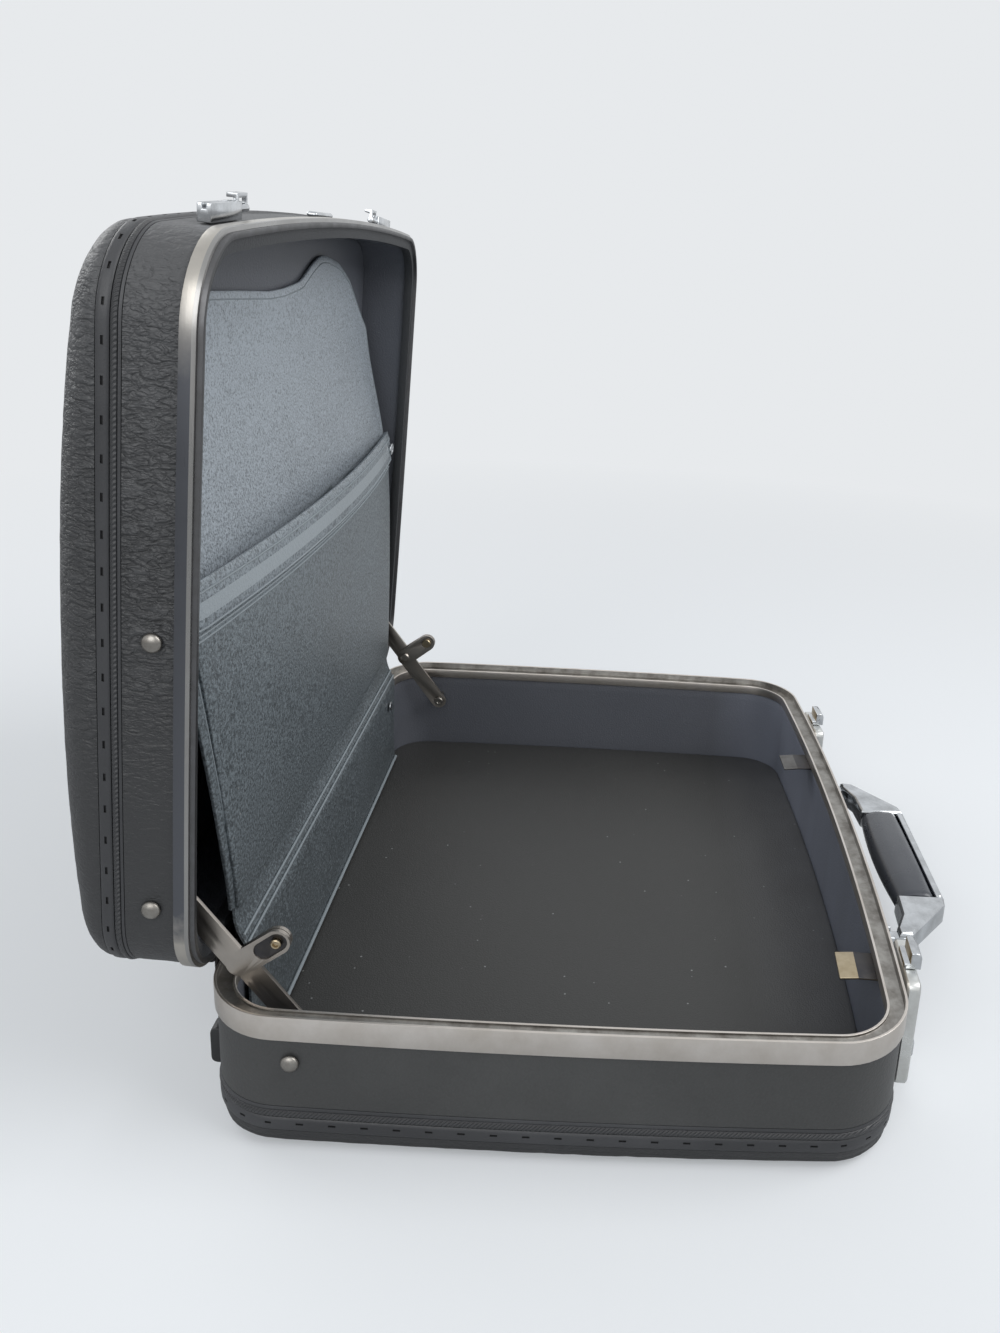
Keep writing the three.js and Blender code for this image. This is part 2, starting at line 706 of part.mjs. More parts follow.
// Stays and rivets, once for each end of the case
for (const [name, side] of [['left', -1], ['right', 1]]) {
  const lidWallX = endFaceX(lidPivotShut[0], wallInset) + fitGap;
  const baseWallX = endFaceX(basePivot[0], wallInset) + fitGap;
  const lidLiningX = endFaceX(lidPivotShut[0], liningInner) - fitGap;
  const baseLiningX = endFaceX(basePivot[0], liningInner) - fitGap;
  const baseArmOuter = baseArmInner + armThickness;
  const lidArmOuter = lidArmInner + armThickness;
  const tailDepth = rivetTail + fitGap;

  addMesh(model, `base_stay_arm_${name}`, armPlate(basePivot, baseArmInner, side, [basePivot, knee, elbow]), steel);
  addMesh(model, `lid_stay_arm_${name}`, armPlate(lidPivot, lidArmInner, side, [lidPivot, knee]), steel);

  const baseRivet = wallRivet(basePivot, baseWallX, baseLiningX, baseArmOuter + fitGap, baseArmInner - tailDepth);
  addMesh(model, `base_stay_rivet_${name}`, turnedAlongX(baseRivet, basePivot[0], basePivot[1], side), chrome);

  const lidRivet = wallRivet(lidPivotShut, lidWallX, lidLiningX, lidArmOuter + fitGap, lidArmInner - tailDepth);
  const lidRivetBody = turnedAlongX(lidRivet, lidPivotShut[0], lidPivotShut[1], side);
  addMesh(lidInside, `lid_stay_rivet_${name}`, lidRivetBody, chrome);

  const kneeRivet = [
    [0, baseArmInner - tailDepth], [rivetTailRadius, baseArmInner - tailDepth],
    [rivetTailRadius, baseArmInner - fitGap], [rivetRadius, baseArmInner - fitGap],
    [rivetRadius, lidArmOuter + fitGap], [rivetTailRadius, lidArmOuter + fitGap],
    [rivetTailRadius, lidArmOuter + tailDepth], [0, lidArmOuter + tailDepth],
  ];
  addMesh(model, `knee_rivet_${name}`, turnedAlongX(kneeRivet, knee[0], knee[1], side), brass);

  const elbowRivet = [
    [0, baseArmInner - tailDepth], [rivetTailRadius, baseArmInner - tailDepth],
    [rivetTailRadius, baseArmInner - fitGap], [rivetRadius, baseArmInner - fitGap],
    [rivetRadius, baseArmOuter - fitGap], [0, baseArmOuter - fitGap],
  ];
  addMesh(model, `elbow_rivet_${name}`, turnedAlongX(elbowRivet, elbow[0], elbow[1], side), steel);

  const bandY = caseWidth / 2 - bandRivetSetback;
  const bandWallX = endFaceX(bandY, wallInset) + fitGap;
  const bandLiningX = endFaceX(bandY, liningInner) - fitGap;
  const bandRivet = [
    [0, bandRivetInner], [rivetTailRadius, bandRivetInner], [rivetTailRadius, bandRivetInner + rivetTail],
    [rivetRadius, bandRivetInner + rivetTail], [rivetRadius, bandLiningX - rivetTail],
    [collarRadius, bandLiningX - rivetTail], [collarRadius, bandLiningX], [rivetRadius, bandLiningX],
    [rivetRadius, bandWallX], ...domeProfile(rivetHeadRadius, rivetDome, bandWallX),
  ];
  const bandRivetBody = turnedAlongX(bandRivet, bandY, lidPlane + bandRivetDepth, side);
  addMesh(lidInside, `band_rivet_${name}`, bandRivetBody, chrome);
}

// Latches: each stands in a frame of its own on the bowed front, local X along the front
function frontFrame(x) {
  const half = latchWidth / 2;
  const slope = (frontFaceY(x + half, 0) - frontFaceY(x - half, 0)) / latchWidth;
  const frame = new THREE.Group();
  frame.position.set(x, frontFaceY(x, 0), 0);
  frame.rotation.z = Math.atan(slope);
  return frame;
}

const plateBack = -latchStandOff;
const plateFront = plateBack - latchThickness;
const buttonMiddle = latchBottom + buttonMargin + buttonHeight / 2;

function latchPlate() {
  const half = latchWidth / 2;
  const backHalf = latchBackWidth / 2;
  const face = alongFront(roundedRectangle(-half, half, latchBottom, latchTop, latchCorner), plateBack,
    latchThickness, frameSheet);
  const backTop = baseDepth - baseBand - frameSheet;
  const back = block(-backHalf, backHalf, plateBack - frameSheet, wallInset - fitGap - frameSheet / 4,
    baseDepth - baseWallFace + fitGap, backTop);
  const slotHalf = (buttonStemWidth + buttonTravel) / 2 + fitGap;
  const slotHeight = buttonStemHeight / 2 + fitGap;
  const slot = block(-slotHalf, slotHalf, plateFront - cutOverrun, plateFront + latchThickness / 2,
    buttonMiddle - slotHeight, buttonMiddle + slotHeight);
  return cut(joined(face, back), slot);
}

function latchCap() {
  const bottom = latchTop + fitGap;
  const top = baseDepth + capRise;
  const section = shapeOf([
    [plateBack, bottom], [plateBack, bottom + capFoot], [-capSlot, bottom + capFoot], [-capSlot, top],
    ...arcPoints([capRound - capFront, top - capRound], capRound, Math.PI / 2, Math.PI, domeSteps),
    [-capFront, bottom],
  ]);
  return alongX(section, -capWidth / 2, capWidth / 2);
}

// The button starts at the outer end of its slot and slides towards the middle of the case
function latchButton(side) {
  const rest = (side * buttonTravel) / 2;
  const half = buttonWidth / 2;
  const face = plateFront - fitGap;
  const outline = roundedRectangle(rest - half, rest + half, buttonMiddle - buttonHeight / 2,
    buttonMiddle + buttonHeight / 2, frameSheet + rimBead);
  const knob = alongFront(outline, face, buttonThickness, frameSheet);
  const stemHalf = buttonStemWidth / 2;
  const stem = block(rest - stemHalf, rest + stemHalf, face - frameSheet, plateFront + latchThickness / 3,
    buttonMiddle - buttonStemHeight / 2, buttonMiddle + buttonStemHeight / 2);
  return joined(knob, stem);
}

// The keeper tab on the inside of the front wall, with its tip bent down
function innerTab() {
  const top = baseDepth - tabDrop;
  const wallY = liningInner + tabGap;
  const section = shapeOf([
    [wallY, top - tabSheet], [wallY + tabReach, top - tabSheet],
    [wallY + tabReach + tabTip, top - tabSheet - tabTipDrop], [wallY + tabReach + tabTip, top - tabTipDrop],
    [wallY + tabReach, top], [wallY, top],
  ]);
  return alongX(section, -tabWidth / 2, tabWidth / 2);
}

// Hasp on the lid: a grooved bar, and beside its inner end the hook that turns on it
const haspMiddle = lidPlane + haspBottom + haspHeight / 2;
const haspSeat = wallInset - fitGap - frameSheet / 4;

function haspBar(side) {
  const near = side * haspNearOffset;
  const far = side * (haspNearOffset - haspLength);
  const low = haspMiddle - haspHeight / 2;
  const high = haspMiddle + haspHeight / 2;
  const groove = haspGroove / 2;
  const section = shapeOf([
    [haspSeat, low], [haspSeat, high], [-haspOutset, high], [-haspOutset, haspMiddle + groove],
    [haspGrooveDepth - haspOutset, haspMiddle + groove], [haspGrooveDepth - haspOutset, haspMiddle - groove],
    [-haspOutset, haspMiddle - groove], [-haspOutset, low],
  ]);
  return alongX(section, near, far);
}

function haspHook(side) {
  const start = haspNearOffset - haspLength - fitGap;
  const end = start - hookWidth;
  const reach = -(haspOutset / 2) - hookReach;
  const rootY = -(haspOutset / 2);
  const half = hookBar / 2;
  const root = rodAlongX(hookRoot / 2, side * start, side * end, rootY, haspMiddle);
  const legs = [start, end + hookBar].map((x) => block(side * x, side * (x - hookBar), reach, rootY,
    haspMiddle - half, haspMiddle + half));
  const bar = block(side * start, side * end, reach, reach + hookBar, haspMiddle - half,
    haspMiddle + half + hookLip);
  return joined(root, ...legs, bar);
}

for (const [name, side] of [['left', -1], ['right', 1]]) {
  const onBase = frontFrame(side * latchOffset);
  model.add(onBase);
  addMesh(onBase, `latch_plate_${name}`, latchPlate(), chrome);
  addMesh(onBase, `latch_cap_${name}`, latchCap(), chrome);
  addMesh(onBase, `latch_button_${name}`, latchButton(side), chrome);
  const insideBase = frontFrame(side === 1 ? latchOffset - farTabShift : -latchOffset);
  model.add(insideBase);
  addMesh(insideBase, `latch_inner_tab_${name}`, innerTab(), brass);

  const onLid = frontFrame(side * latchOffset);
  lidInside.add(onLid);
  addMesh(onLid, `hasp_bar_${name}`, haspBar(side), chrome);
  addMesh(onLid, `hasp_hook_${name}`, haspHook(side), chrome);
}

const catchY = frontFaceY(0, wallInset);
addMesh(lidInside, 'lid_centre_catch', alongFront(
  roundedRectangle(-catchLength / 2, catchLength / 2, haspMiddle - haspHeight / 2, haspMiddle + haspHeight / 2, rimBead),
  catchY - fitGap,
  catchOutset,
  frameSheet,
), chrome);

// Handle: two brackets on the front, and between them the hinged ends, the grip and its spine
function bracket(side) {
  const at = (x) => side * x;
  const low = handleHeight - bracketHeight / 2;
  const high = handleHeight + bracketHeight / 2;
  const inner = handleHalfSpan - bracketWidth / 2;
  const outer = handleHalfSpan + bracketWidth / 2;
  const seat = frontFaceY(inner, wallInset) - fitGap;
  const plate = block(at(inner), at(outer), seat, -bracketFace, low, high);
  const eye = eyeWidth / 2 + fitGap + frameSheet / 4;
  const ears = [-1, 1].map((way) => block(
    at(handleHalfSpan + way * eye),
    at(handleHalfSpan + way * (eye + earThickness)),
    -bracketFace + frameSheet,
    -bracketFace - earReach,
    handleHeight - earHeight / 2,
    handleHeight + earHeight / 2,
  ));
  const reach = eye + earThickness / 2;
  const pin = rodAlongX(pivotPinRadius, at(handleHalfSpan - reach), at(handleHalfSpan + reach), -handlePivotOut,
    handleHeight);
  return joined(plate, ...ears, pin);
}

function handleEnd(side) {
  const half = handleEndHeight / 2;
  const outer = handleHalfSpan + eyeWidth / 2;
  const inner = handleHalfSpan - eyeWidth / 2;
  const gripEnd = gripHalfLength + fitGap;
  const earEnd = bracketFace + earReach - handlePivotOut;
  const neck = handlePivotOut + Math.hypot(earEnd, earHeight / 2) + fitGap;
  const outline = shapeOf([
    [outer, -neck], [inner, -neck], [inner - 2 * eyeWidth, -gripInner + rimBead],
    [gripEnd, -gripInner], [gripEnd, -spineOuter], [gripEnd + eyeHeight, -spineOuter + rimBead],
    [outer - frameSheet, -neck - 2 * eyeRear],
  ].map(([x, y]) => [side * x, y]));
  const settings = { depth: handleEndHeight - 2 * spineChamfer, bevelSize: spineChamfer, bevelOffset: -spineChamfer };
  const body = new THREE.ExtrudeGeometry(outline, { ...settings, bevelThickness: spineChamfer, bevelSegments: 1 });
  body.translate(0, 0, handleHeight - half + spineChamfer);
  const eye = block(side * inner, side * outer, -handlePivotOut + eyeRear, -neck - eyeRear,
    handleHeight - eyeHeight / 2, handleHeight + eyeHeight / 2);
  const bore = rodAlongX(pivotBoreRadius, side * (inner - cutOverrun), side * (outer + cutOverrun),
    -handlePivotOut, handleHeight);
  return cut(joined(body, eye), bore);
}

// The grip is an oval that swells towards the middle on the side of the fingers
function gripBody() {
  const rings = [];
  for (let i = 0; i <= gripRings; i += 1) {
    const share = (2 * i) / gripRings - 1;
    const swell = gripSwell * (1 - share ** 2);
    const halfY = (gripOuter - gripInner + swell) / 2;
    const middle = -gripOuter + halfY;
    const halfZ = gripHeight / 2 - gripSwell * share ** 2 / 2;
    rings.push(arcPoints([0, 0], 1, 0, 2 * Math.PI, gripSides).slice(0, gripSides).map(([c, s]) => new THREE.Vector3(
      share * gripHalfLength,
      middle + halfY * c,
      handleHeight + halfZ * s,
    )));
  }
  const middleY = -(gripOuter + gripInner) / 2;
  const ends = [-1, 1].map((side) => new THREE.Vector3(side * gripHalfLength, middleY, handleHeight));
  return ringBody(rings, ends);
}

function spineBar() {
  const half = spineHeight / 2;
  const inner = -gripOuter - fitGap;
  const section = shapeOf([
    [inner, handleHeight - half], [inner, handleHeight + half], [-spineOuter + spineChamfer, handleHeight + half],
    [-spineOuter, handleHeight + half - spineChamfer], [-spineOuter, handleHeight - half + spineChamfer],
    [-spineOuter + spineChamfer, handleHeight - half],
  ]);
  return alongX(section, -gripHalfLength, gripHalfLength);
}

addMesh(model, 'handle_bracket_left', bracket(-1), chrome);
addMesh(model, 'handle_bracket_right', bracket(1), chrome);
addMesh(model, 'handle_end_left', handleEnd(-1), chrome);
addMesh(model, 'handle_end_right', handleEnd(1), chrome);
addMesh(model, 'handle_grip', gripBody(), blackGloss);
addMesh(model, 'handle_spine', spineBar(), chrome);

// Feet on the hinge side
for (const [name, side] of [['left', -1], ['right', 1]]) {
  const seat = caseWidth / 2 - weltFace + fitGap;
  const outer = caseWidth / 2 + footProud;
  const top = footBottom + footHeight;
  const section = shapeOf([
    [seat, footBottom],
    ...arcPoints([outer - footRound, footBottom + footRound], footRound, -Math.PI / 2, 0, domeSteps),
    ...arcPoints([outer - footRound, top - footRound], footRound, 0, Math.PI / 2, domeSteps),
    [seat, top],
  ]);
  const middle = side * footOffset;
  addMesh(model, `base_back_foot_${name}`, alongX(section, middle - footWidth / 2, middle + footWidth / 2),
    blackPlastic);
}

// Folder: sheets over a grid of columns and rows
function fromTable(table, at) {
  const next = table.findIndex(([key]) => key >= at);
  if (next < 0) {
    return table[table.length - 1][1];
  }
  if (next === 0) {
    return table[0][1];
  }
  const [k0, v0] = table[next - 1];
  const [k1, v1] = table[next];
  return v0 + ((v1 - v0) * (at - k0)) / (k1 - k0);
}

function folderDepth(setback) {
  return folderMaxDepth * fromTable(folderDepthShares, setback / folderReach);
}

function folderEdge(setback) {
  return folderHalfWidth * fromTable(folderWidthShares, setback / folderReach);
}

// placeAt gives the side of the sheet towards the opening, for u from -1 to 1 and v from 0 to 1
function sheetBody(columns, rows, thickness, placeAt) {
  const points = [];
  const faces = [];
  const stride = columns + 1;
  const layer = stride * (rows + 1);
  for (const lift of [0, thickness]) {
    for (let j = 0; j <= rows; j += 1) {
      for (let i = 0; i <= columns; i += 1) {
        const place = placeAt((2 * i) / columns - 1, j / rows);
        points.push(new THREE.Vector3(place.x, caseWidth / 2 - place.setback, lidPlane + place.depth + lift));
      }
    }
  }
  for (let j = 0; j < rows; j += 1) {
    for (let i = 0; i < columns; i += 1) {
      const a = j * stride + i;
      const b = a + 1;
      const c = a + stride;
      const d = c + 1;
      faces.push([a, b, d], [a, d, c], [a + layer, d + layer, b + layer], [a + layer, c + layer, d + layer]);
    }
  }
  const rim = [];
  for (let i = 0; i < columns; i += 1) rim.push(i);
  for (let j = 0; j < rows; j += 1) rim.push(j * stride + columns);
  for (let i = columns; i > 0; i -= 1) rim.push(rows * stride + i);
  for (let j = rows; j > 0; j -= 1) rim.push(j * stride);
  rim.forEach((a, k) => {
    const b = rim[(k + 1) % rim.length];
    faces.push([a, b + layer, b], [a, a + layer, b + layer]);
  });
  return closedMesh(points, faces);
}

function backPanelPlace(u, v) {
  const middle = folderFoot + (folderReach - folderFoot) * v;
  const x = u * folderEdge(middle);
  const top = folderReach * fromTable(x < 0 ? folderNearTopShares : folderTopShares,
    Math.abs(x) / folderHalfWidth);
  const setback = folderFoot + (top - folderFoot) * v;
  return { x, setback, depth: folderDepth(setback) };
}

// The pocket lies on the panel at its edges and its foot, and swells towards its mouth
function pocketDepth(u, setback, sheet) {
  const along = (setback - folderFoot) / (pocketTop - folderFoot);
  const swell = pocketSwell * (1 - u ** 2) * Math.min(along, 1) ** 2;
  return folderDepth(setback) - sheet - fitGap - swell;
}

function pocketPlace(u, v) {
  const setback = folderFoot + (pocketTop - folderFoot) * v;
  return { x: u * (folderEdge(setback) - pocketMargin), setback, depth: pocketDepth(u, setback, pocketSheet) };
}

function bandPlace(u, v) {
  const setback = pocketTop + fitGap + bandHeight * v;
  return { x: u * (folderEdge(setback) - pocketMargin), setback, depth: pocketDepth(u, setback, bandSheet) };
}

addMesh(lidInside, 'folder_back_panel', sheetBody(folderColumns, folderRows, folderSheet, backPanelPlace),
  folderVinyl);
addMesh(lidInside, 'folder_front_pocket', sheetBody(folderColumns, pocketRows, pocketSheet, pocketPlace),
  folderVinyl);
addMesh(lidInside, 'folder_band', sheetBody(folderColumns, 2, bandSheet, bandPlace), folderVinyl);

// One snap holds the band, near its right end
const snapShare = 1 - snapInset / folderHalfWidth;
const snapPlace = bandPlace(snapShare, 1 / 2);
const snap = new THREE.CylinderGeometry(snapRadius, snapRadius, snapHeight, roundSteps);
snap.rotateX(Math.PI / 2);
snap.translate(snapPlace.x, caseWidth / 2 - snapPlace.setback, lidPlane + snapPlace.depth - fitGap - snapHeight);
addMesh(lidInside, 'folder_snap', snap, chrome);

// The gusset joins the folder's foot to the back of the base
const gussetY = caseWidth / 2 - gussetSetback;
const floorTop = baseDepth - baseShell.wallEnd + panelThickness;
addMesh(model, 'base_gusset', block(-gussetHalfWidth, gussetHalfWidth, gussetY - gussetSheet, gussetY,
  floorTop + fitGap, gussetTop), folderVinyl);

export default model;
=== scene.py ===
# %% [markdown]
# # A hard briefcase, standing open
# The case is two wooden shells in metal frames, hinged along the back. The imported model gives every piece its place
# and its motion. Here each piece gets its fine surface: smooth outlines instead of facets, wrinkled covering,
# stitching, brushed metal and a soft document folder.

# %% Load the frame and keep its size
import json
import math

import bmesh
import bpy
from mathutils import Matrix, Vector, noise


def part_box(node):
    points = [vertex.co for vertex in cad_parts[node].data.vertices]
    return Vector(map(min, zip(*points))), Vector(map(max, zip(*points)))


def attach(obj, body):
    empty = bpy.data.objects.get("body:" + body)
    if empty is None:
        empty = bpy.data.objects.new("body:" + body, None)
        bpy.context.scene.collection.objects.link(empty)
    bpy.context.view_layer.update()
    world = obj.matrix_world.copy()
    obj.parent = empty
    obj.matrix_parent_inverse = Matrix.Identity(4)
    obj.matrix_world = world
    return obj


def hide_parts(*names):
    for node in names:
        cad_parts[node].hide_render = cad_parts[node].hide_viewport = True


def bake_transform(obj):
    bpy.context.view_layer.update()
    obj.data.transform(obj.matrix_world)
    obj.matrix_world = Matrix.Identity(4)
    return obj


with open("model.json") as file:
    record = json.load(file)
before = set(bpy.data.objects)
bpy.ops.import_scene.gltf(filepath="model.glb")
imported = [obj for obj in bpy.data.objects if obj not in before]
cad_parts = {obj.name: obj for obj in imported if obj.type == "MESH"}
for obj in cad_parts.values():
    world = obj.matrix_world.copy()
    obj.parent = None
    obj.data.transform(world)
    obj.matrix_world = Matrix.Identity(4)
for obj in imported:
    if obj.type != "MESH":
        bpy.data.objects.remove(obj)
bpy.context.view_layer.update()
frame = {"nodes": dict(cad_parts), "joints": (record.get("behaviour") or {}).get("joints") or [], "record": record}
joints = {joint["name"]: joint for joint in frame["joints"]}

# %% [markdown]
# ## Camera
# The photograph looks along the case from its left end, a little above the rim. The place, the turn and the lens were
# fitted to the outline of the base frame and of the open lid. The shift stands for the picture's crop.

# %% Camera
CAMERA_PLACE = Vector((-0.644268, -0.011236, 0.415212))
CAMERA_YAW = -0.025488
CAMERA_PITCH = 0.287415
CAMERA_ROLL = 0.062939
SENSOR_HEIGHT = 36
FOCAL_LENGTH = 30.056
LENS_SHIFT = (-0.10168, -0.06921)

scene = bpy.context.scene
lens = bpy.data.cameras.new("case_camera")
camera = bpy.data.objects.new("case_camera", lens)
scene.collection.objects.link(camera)
scene.camera = camera
level = math.cos(CAMERA_PITCH)
view_line = Vector((math.cos(CAMERA_YAW) * level, math.sin(CAMERA_YAW) * level, -math.sin(CAMERA_PITCH)))
turn = view_line.to_track_quat("-Z", "Y").to_matrix() @ Matrix.Rotation(CAMERA_ROLL, 3, "Z")
camera.matrix_world = Matrix.Translation(CAMERA_PLACE) @ turn.to_4x4()
lens.sensor_fit = "VERTICAL"
lens.sensor_height = SENSOR_HEIGHT
lens.lens = FOCAL_LENGTH
lens.shift_x, lens.shift_y = LENS_SHIFT
lens.clip_start = 0.01
print("camera looks along", [round(value, 3) for value in view_line])

# %% [markdown]
# ## Shader maths
# A material is a small graph of nodes. To write one as arithmetic, the class below wraps a socket and turns each
# operator into a Math node. Colours stay out of it, because a Math node would turn them grey: they are mixed by
# `tint`. Every other node comes from one method, which sets the node first and its sockets after.

# %% Wires and finishes
class Wire:
    """An output socket of a finish's node tree that can be used in sums."""

    def __init__(self, finish, socket):
        self.finish = finish
        self.socket = socket

    def maths(self, operation, *values, **settings):
        return self.finish.node("ShaderNodeMath", {"operation": operation, **settings}, dict(enumerate(values)))

    def __add__(self, other):
        return self.maths("ADD", self, other)

    def __sub__(self, other):
        return self.maths("SUBTRACT", self, other)

    def __rsub__(self, other):
        return self.maths("SUBTRACT", other, self)

    def __mul__(self, other):
        return self.maths("MULTIPLY", self, other)

    __radd__ = __add__
    __rmul__ = __mul__

    def over(self, level, softness):
        """0 below the level and 1 above it, with a soft step between."""
        return self.maths("MULTIPLY_ADD", self - level, 1 / softness, 0.5, use_clamp=True)


class Finish:
    """A material with one Principled shader, and the patterns that its nodes make."""

    def __init__(self, name, color, roughness, metallic=0.0):
        self.material = bpy.data.materials.new(name)
        self.material.use_nodes = True
        self.tree = self.material.node_tree
        self.shader = self.tree.nodes["Principled BSDF"]
        self.material.diffuse_color = (*color, 1)
        self.set("Base Color", (*color, 1))
        self.set("Roughness", roughness)
        self.set("Metallic", metallic)
        self.place = self.node("ShaderNodeTexCoord", {}, {}, "Object")

    def node(self, kind, settings, sockets, output=0):
        made = self.tree.nodes.new(kind)
        for key, value in settings.items():
            setattr(made, key, value)
        for key, value in sockets.items():
            self.feed(made.inputs[key], value)
        return Wire(self, made.outputs[output])

    def feed(self, socket, value):
        """Links a wire to the socket, or sets the socket to a constant."""
        if isinstance(value, Wire):
            self.tree.links.new(value.socket, socket)
        else:
            socket.default_value = value

    def set(self, name, value):
        self.feed(self.shader.inputs[name], value)

    def stretched(self, sizes):
        """The place on the piece in cells of the given sizes in metres."""
        scale = tuple(1 / size for size in sizes)
        return self.node("ShaderNodeMapping", {"vector_type": "POINT"}, {"Vector": self.place, "Scale": scale})

    def clouds(self, size, detail=3.0, roughness=0.55, place=None, distortion=0.0):
        sockets = {"Vector": place or self.place, "Scale": 1 / size, "Detail": detail, "Roughness": roughness,
                   "Distortion": distortion}
        return self.node("ShaderNodeTexNoise", {}, sockets, "Fac")

    def cells(self, size, place=None, feature="F1"):
        sockets = {"Vector": place or self.place, "Scale": 1 / size}
        return self.node("ShaderNodeTexVoronoi", {"feature": feature}, sockets, "Distance")

    def vectors(self, operation, sockets, output="Vector"):
        return self.node("ShaderNodeVectorMath", {"operation": operation}, sockets, output)

    def bent(self, size, amount):
        """The place, pushed about by clouds, so that cells laid on it aren't straight."""
        drift = self.node("ShaderNodeTexNoise", {}, {"Vector": self.place, "Scale": 1 / size, "Detail": 2}, "Color")
        centred = self.vectors("SUBTRACT", {0: drift, 1: (0.5, 0.5, 0.5)})
        return self.vectors("ADD", {0: self.place, 1: self.vectors("SCALE", {0: centred, "Scale": amount})})

    def height(self, axis=2):
        """How high the place is, or how far along another axis, in metres."""
        return self.node("ShaderNodeSeparateXYZ", {}, {0: self.place}, axis)

    def puffs(self, sizes):
        """Soft pillows with sharp valleys between them: clouds folded over at their middle value."""
        drift = self.clouds(1.0, detail=1.5, place=self.stretched(sizes), distortion=0.4) - 0.5
        away = drift.maths("ABSOLUTE", drift)
        return away.maths("SMOOTH_MIN", away * 7.0, 1.0, 0.3)

    def tint(self, share, low, high):
        low = low if isinstance(low, Wire) else (*low[:3], 1)
        high = high if isinstance(high, Wire) else (*high[:3], 1)
        return self.node("ShaderNodeMix", {"data_type": "RGBA"}, {0: share, 6: low, 7: high}, 2)

    def relief(self, height, depth, strength=1.0):
        """Raises the surface by the height, which runs from 0 to 1, times the depth in metres."""
        bump = self.node("ShaderNodeBump", {}, {"Height": height, "Distance": depth, "Strength": strength})
        self.set("Normal", bump)


print("shader maths ready")

# %% [markdown]
# ## Covering
# The shells are covered in black vinyl with a leather grain. Grain like this is a field of small cells with soft
# valleys between them. An image of leather would do, but it would repeat and need a layout. Cells from a Voronoi
# texture, laid on a place that clouds have bent, never repeat and need none. The lid's covering has larger, softer
# folds as well, like an elephant's hide.

# %% Covering finishes
# Heights in the open lid between which its folds are deep, and how softly they begin and end, in metres.
FOLDS_START, FOLDS_START_SOFT = 0.22, 0.12
FOLDS_END, FOLDS_END_SOFT = 0.39, 0.06
# Heights above which the wrinkled covering is painted lighter, a painted light on the top of the open lid, and below
# which it is painted darker, a painted shade.
PAINTED_LIGHT_FROM, PAINTED_SHADE_TO, PAINTED_LIGHT_SOFT = 0.36, 0.33, 0.12
CORD_TWIST = 0.0021


def leather(name, color, roughness, cell, depth, folds=0.0, dust=0.25):
    """Grained vinyl, with folds of the given size or none, worn paler in patches and on the grain that stands out. Fold
    crests get a painted highlight, and folded covering gets painted light high on the open lid and painted shade low
    down.
    """
    made = Finish(name, color, roughness)
    bent = made.bent(cell * 2.2, cell * 1.1)
    valleys = made.cells(cell, place=bent, feature="SMOOTH_F1")
    fine = made.clouds(cell * 0.35, detail=2)
    height = (1 - valleys) * 0.7 + fine * 0.3
    broad = made.clouds(0.09, detail=4, roughness=0.6)
    if folds:
        level = made.height()
        deep = level.over(FOLDS_START, FOLDS_START_SOFT) * (1 - level.over(FOLDS_END, FOLDS_END_SOFT))
        strong = deep * 0.8 + 0.2
        long = made.puffs((folds, folds, folds * 0.42))
        small = made.puffs((folds * 0.4, folds * 0.4, folds * 0.2))
        height = (long * 0.65 + small * 0.35) * strong * (broad * 0.9 + 0.5) + height * 0.12
    made.relief(height, depth)
    wear_and_painted_light = broad.over(0.56, 0.25) * dust
    raised = tuple(value * 1.9 + 0.008 for value in color)
    if folds:
        # Painted light and shade: folded covering gets lighter towards the top of the open lid and darker low down, on
        # top of its wear.
        wear_and_painted_light = wear_and_painted_light + level.over(PAINTED_LIGHT_FROM, PAINTED_LIGHT_SOFT) * 0.9 + (1 - level.over(PAINTED_SHADE_TO, PAINTED_LIGHT_SOFT)) * -0.4
    # Paler where the relief stands out: on the grain this is wear, on the large folds a painted highlight on the crests
    # and painted shade between them.
    made.set("Base Color", made.tint(wear_and_painted_light + height * (0.75 if folds else 0.3), color, raised))
    made.set("Roughness", roughness + (broad - 0.5) * 0.25)
    return made


wall_covering = leather("wall_leatherette", (0.046, 0.047, 0.047), 0.5, 0.0012, 0.0002, dust=0.3)
lid_covering = leather("wrinkled_leatherette", (0.040, 0.041, 0.043), 0.46, 0.0009, 0.0013, folds=0.010, dust=0.4)
trim_vinyl = leather("piping_vinyl", (0.036, 0.037, 0.040), 0.42, 0.0007, 0.00008, dust=0.5)
cord_vinyl = Finish("cord_vinyl", (0.050, 0.051, 0.054), 0.42)
along_cord = cord_vinyl.height(0) + cord_vinyl.height(1) + cord_vinyl.height(2)
turns = along_cord * (2 * math.pi / CORD_TWIST)
twist = turns.maths("SINE", turns)
cord_vinyl.relief(twist * 0.5 + 0.5, 0.0004)
seam_shadow = Finish("seam_shadow", (0.012, 0.012, 0.013), 0.7)
print("covering:", wall_covering.material.name, lid_covering.material.name, trim_vinyl.material.name)

# %% [markdown]
# ## Metals
# The frames are aluminium with a brushed, slightly yellowed face, the stays are steel, and the latches and the
# handle's ends are chrome plated. Brushing runs along the strip, so on a frame it is a noise that is fine across the
# strip and long along it. Wear is a little more roughness and a browner tone in patches. On the chrome the darker
# patches are painted reflections of the dark case around it.

# %% Metal finishes
# Heights on the open lid's rim between which its colour is darker, and how softly that begins and ends, in metres.
DARKER_FROM, DARKER_FROM_SOFT = 0.122, 0.015
DARKER_TO, DARKER_TO_SOFT = 0.375, 0.03


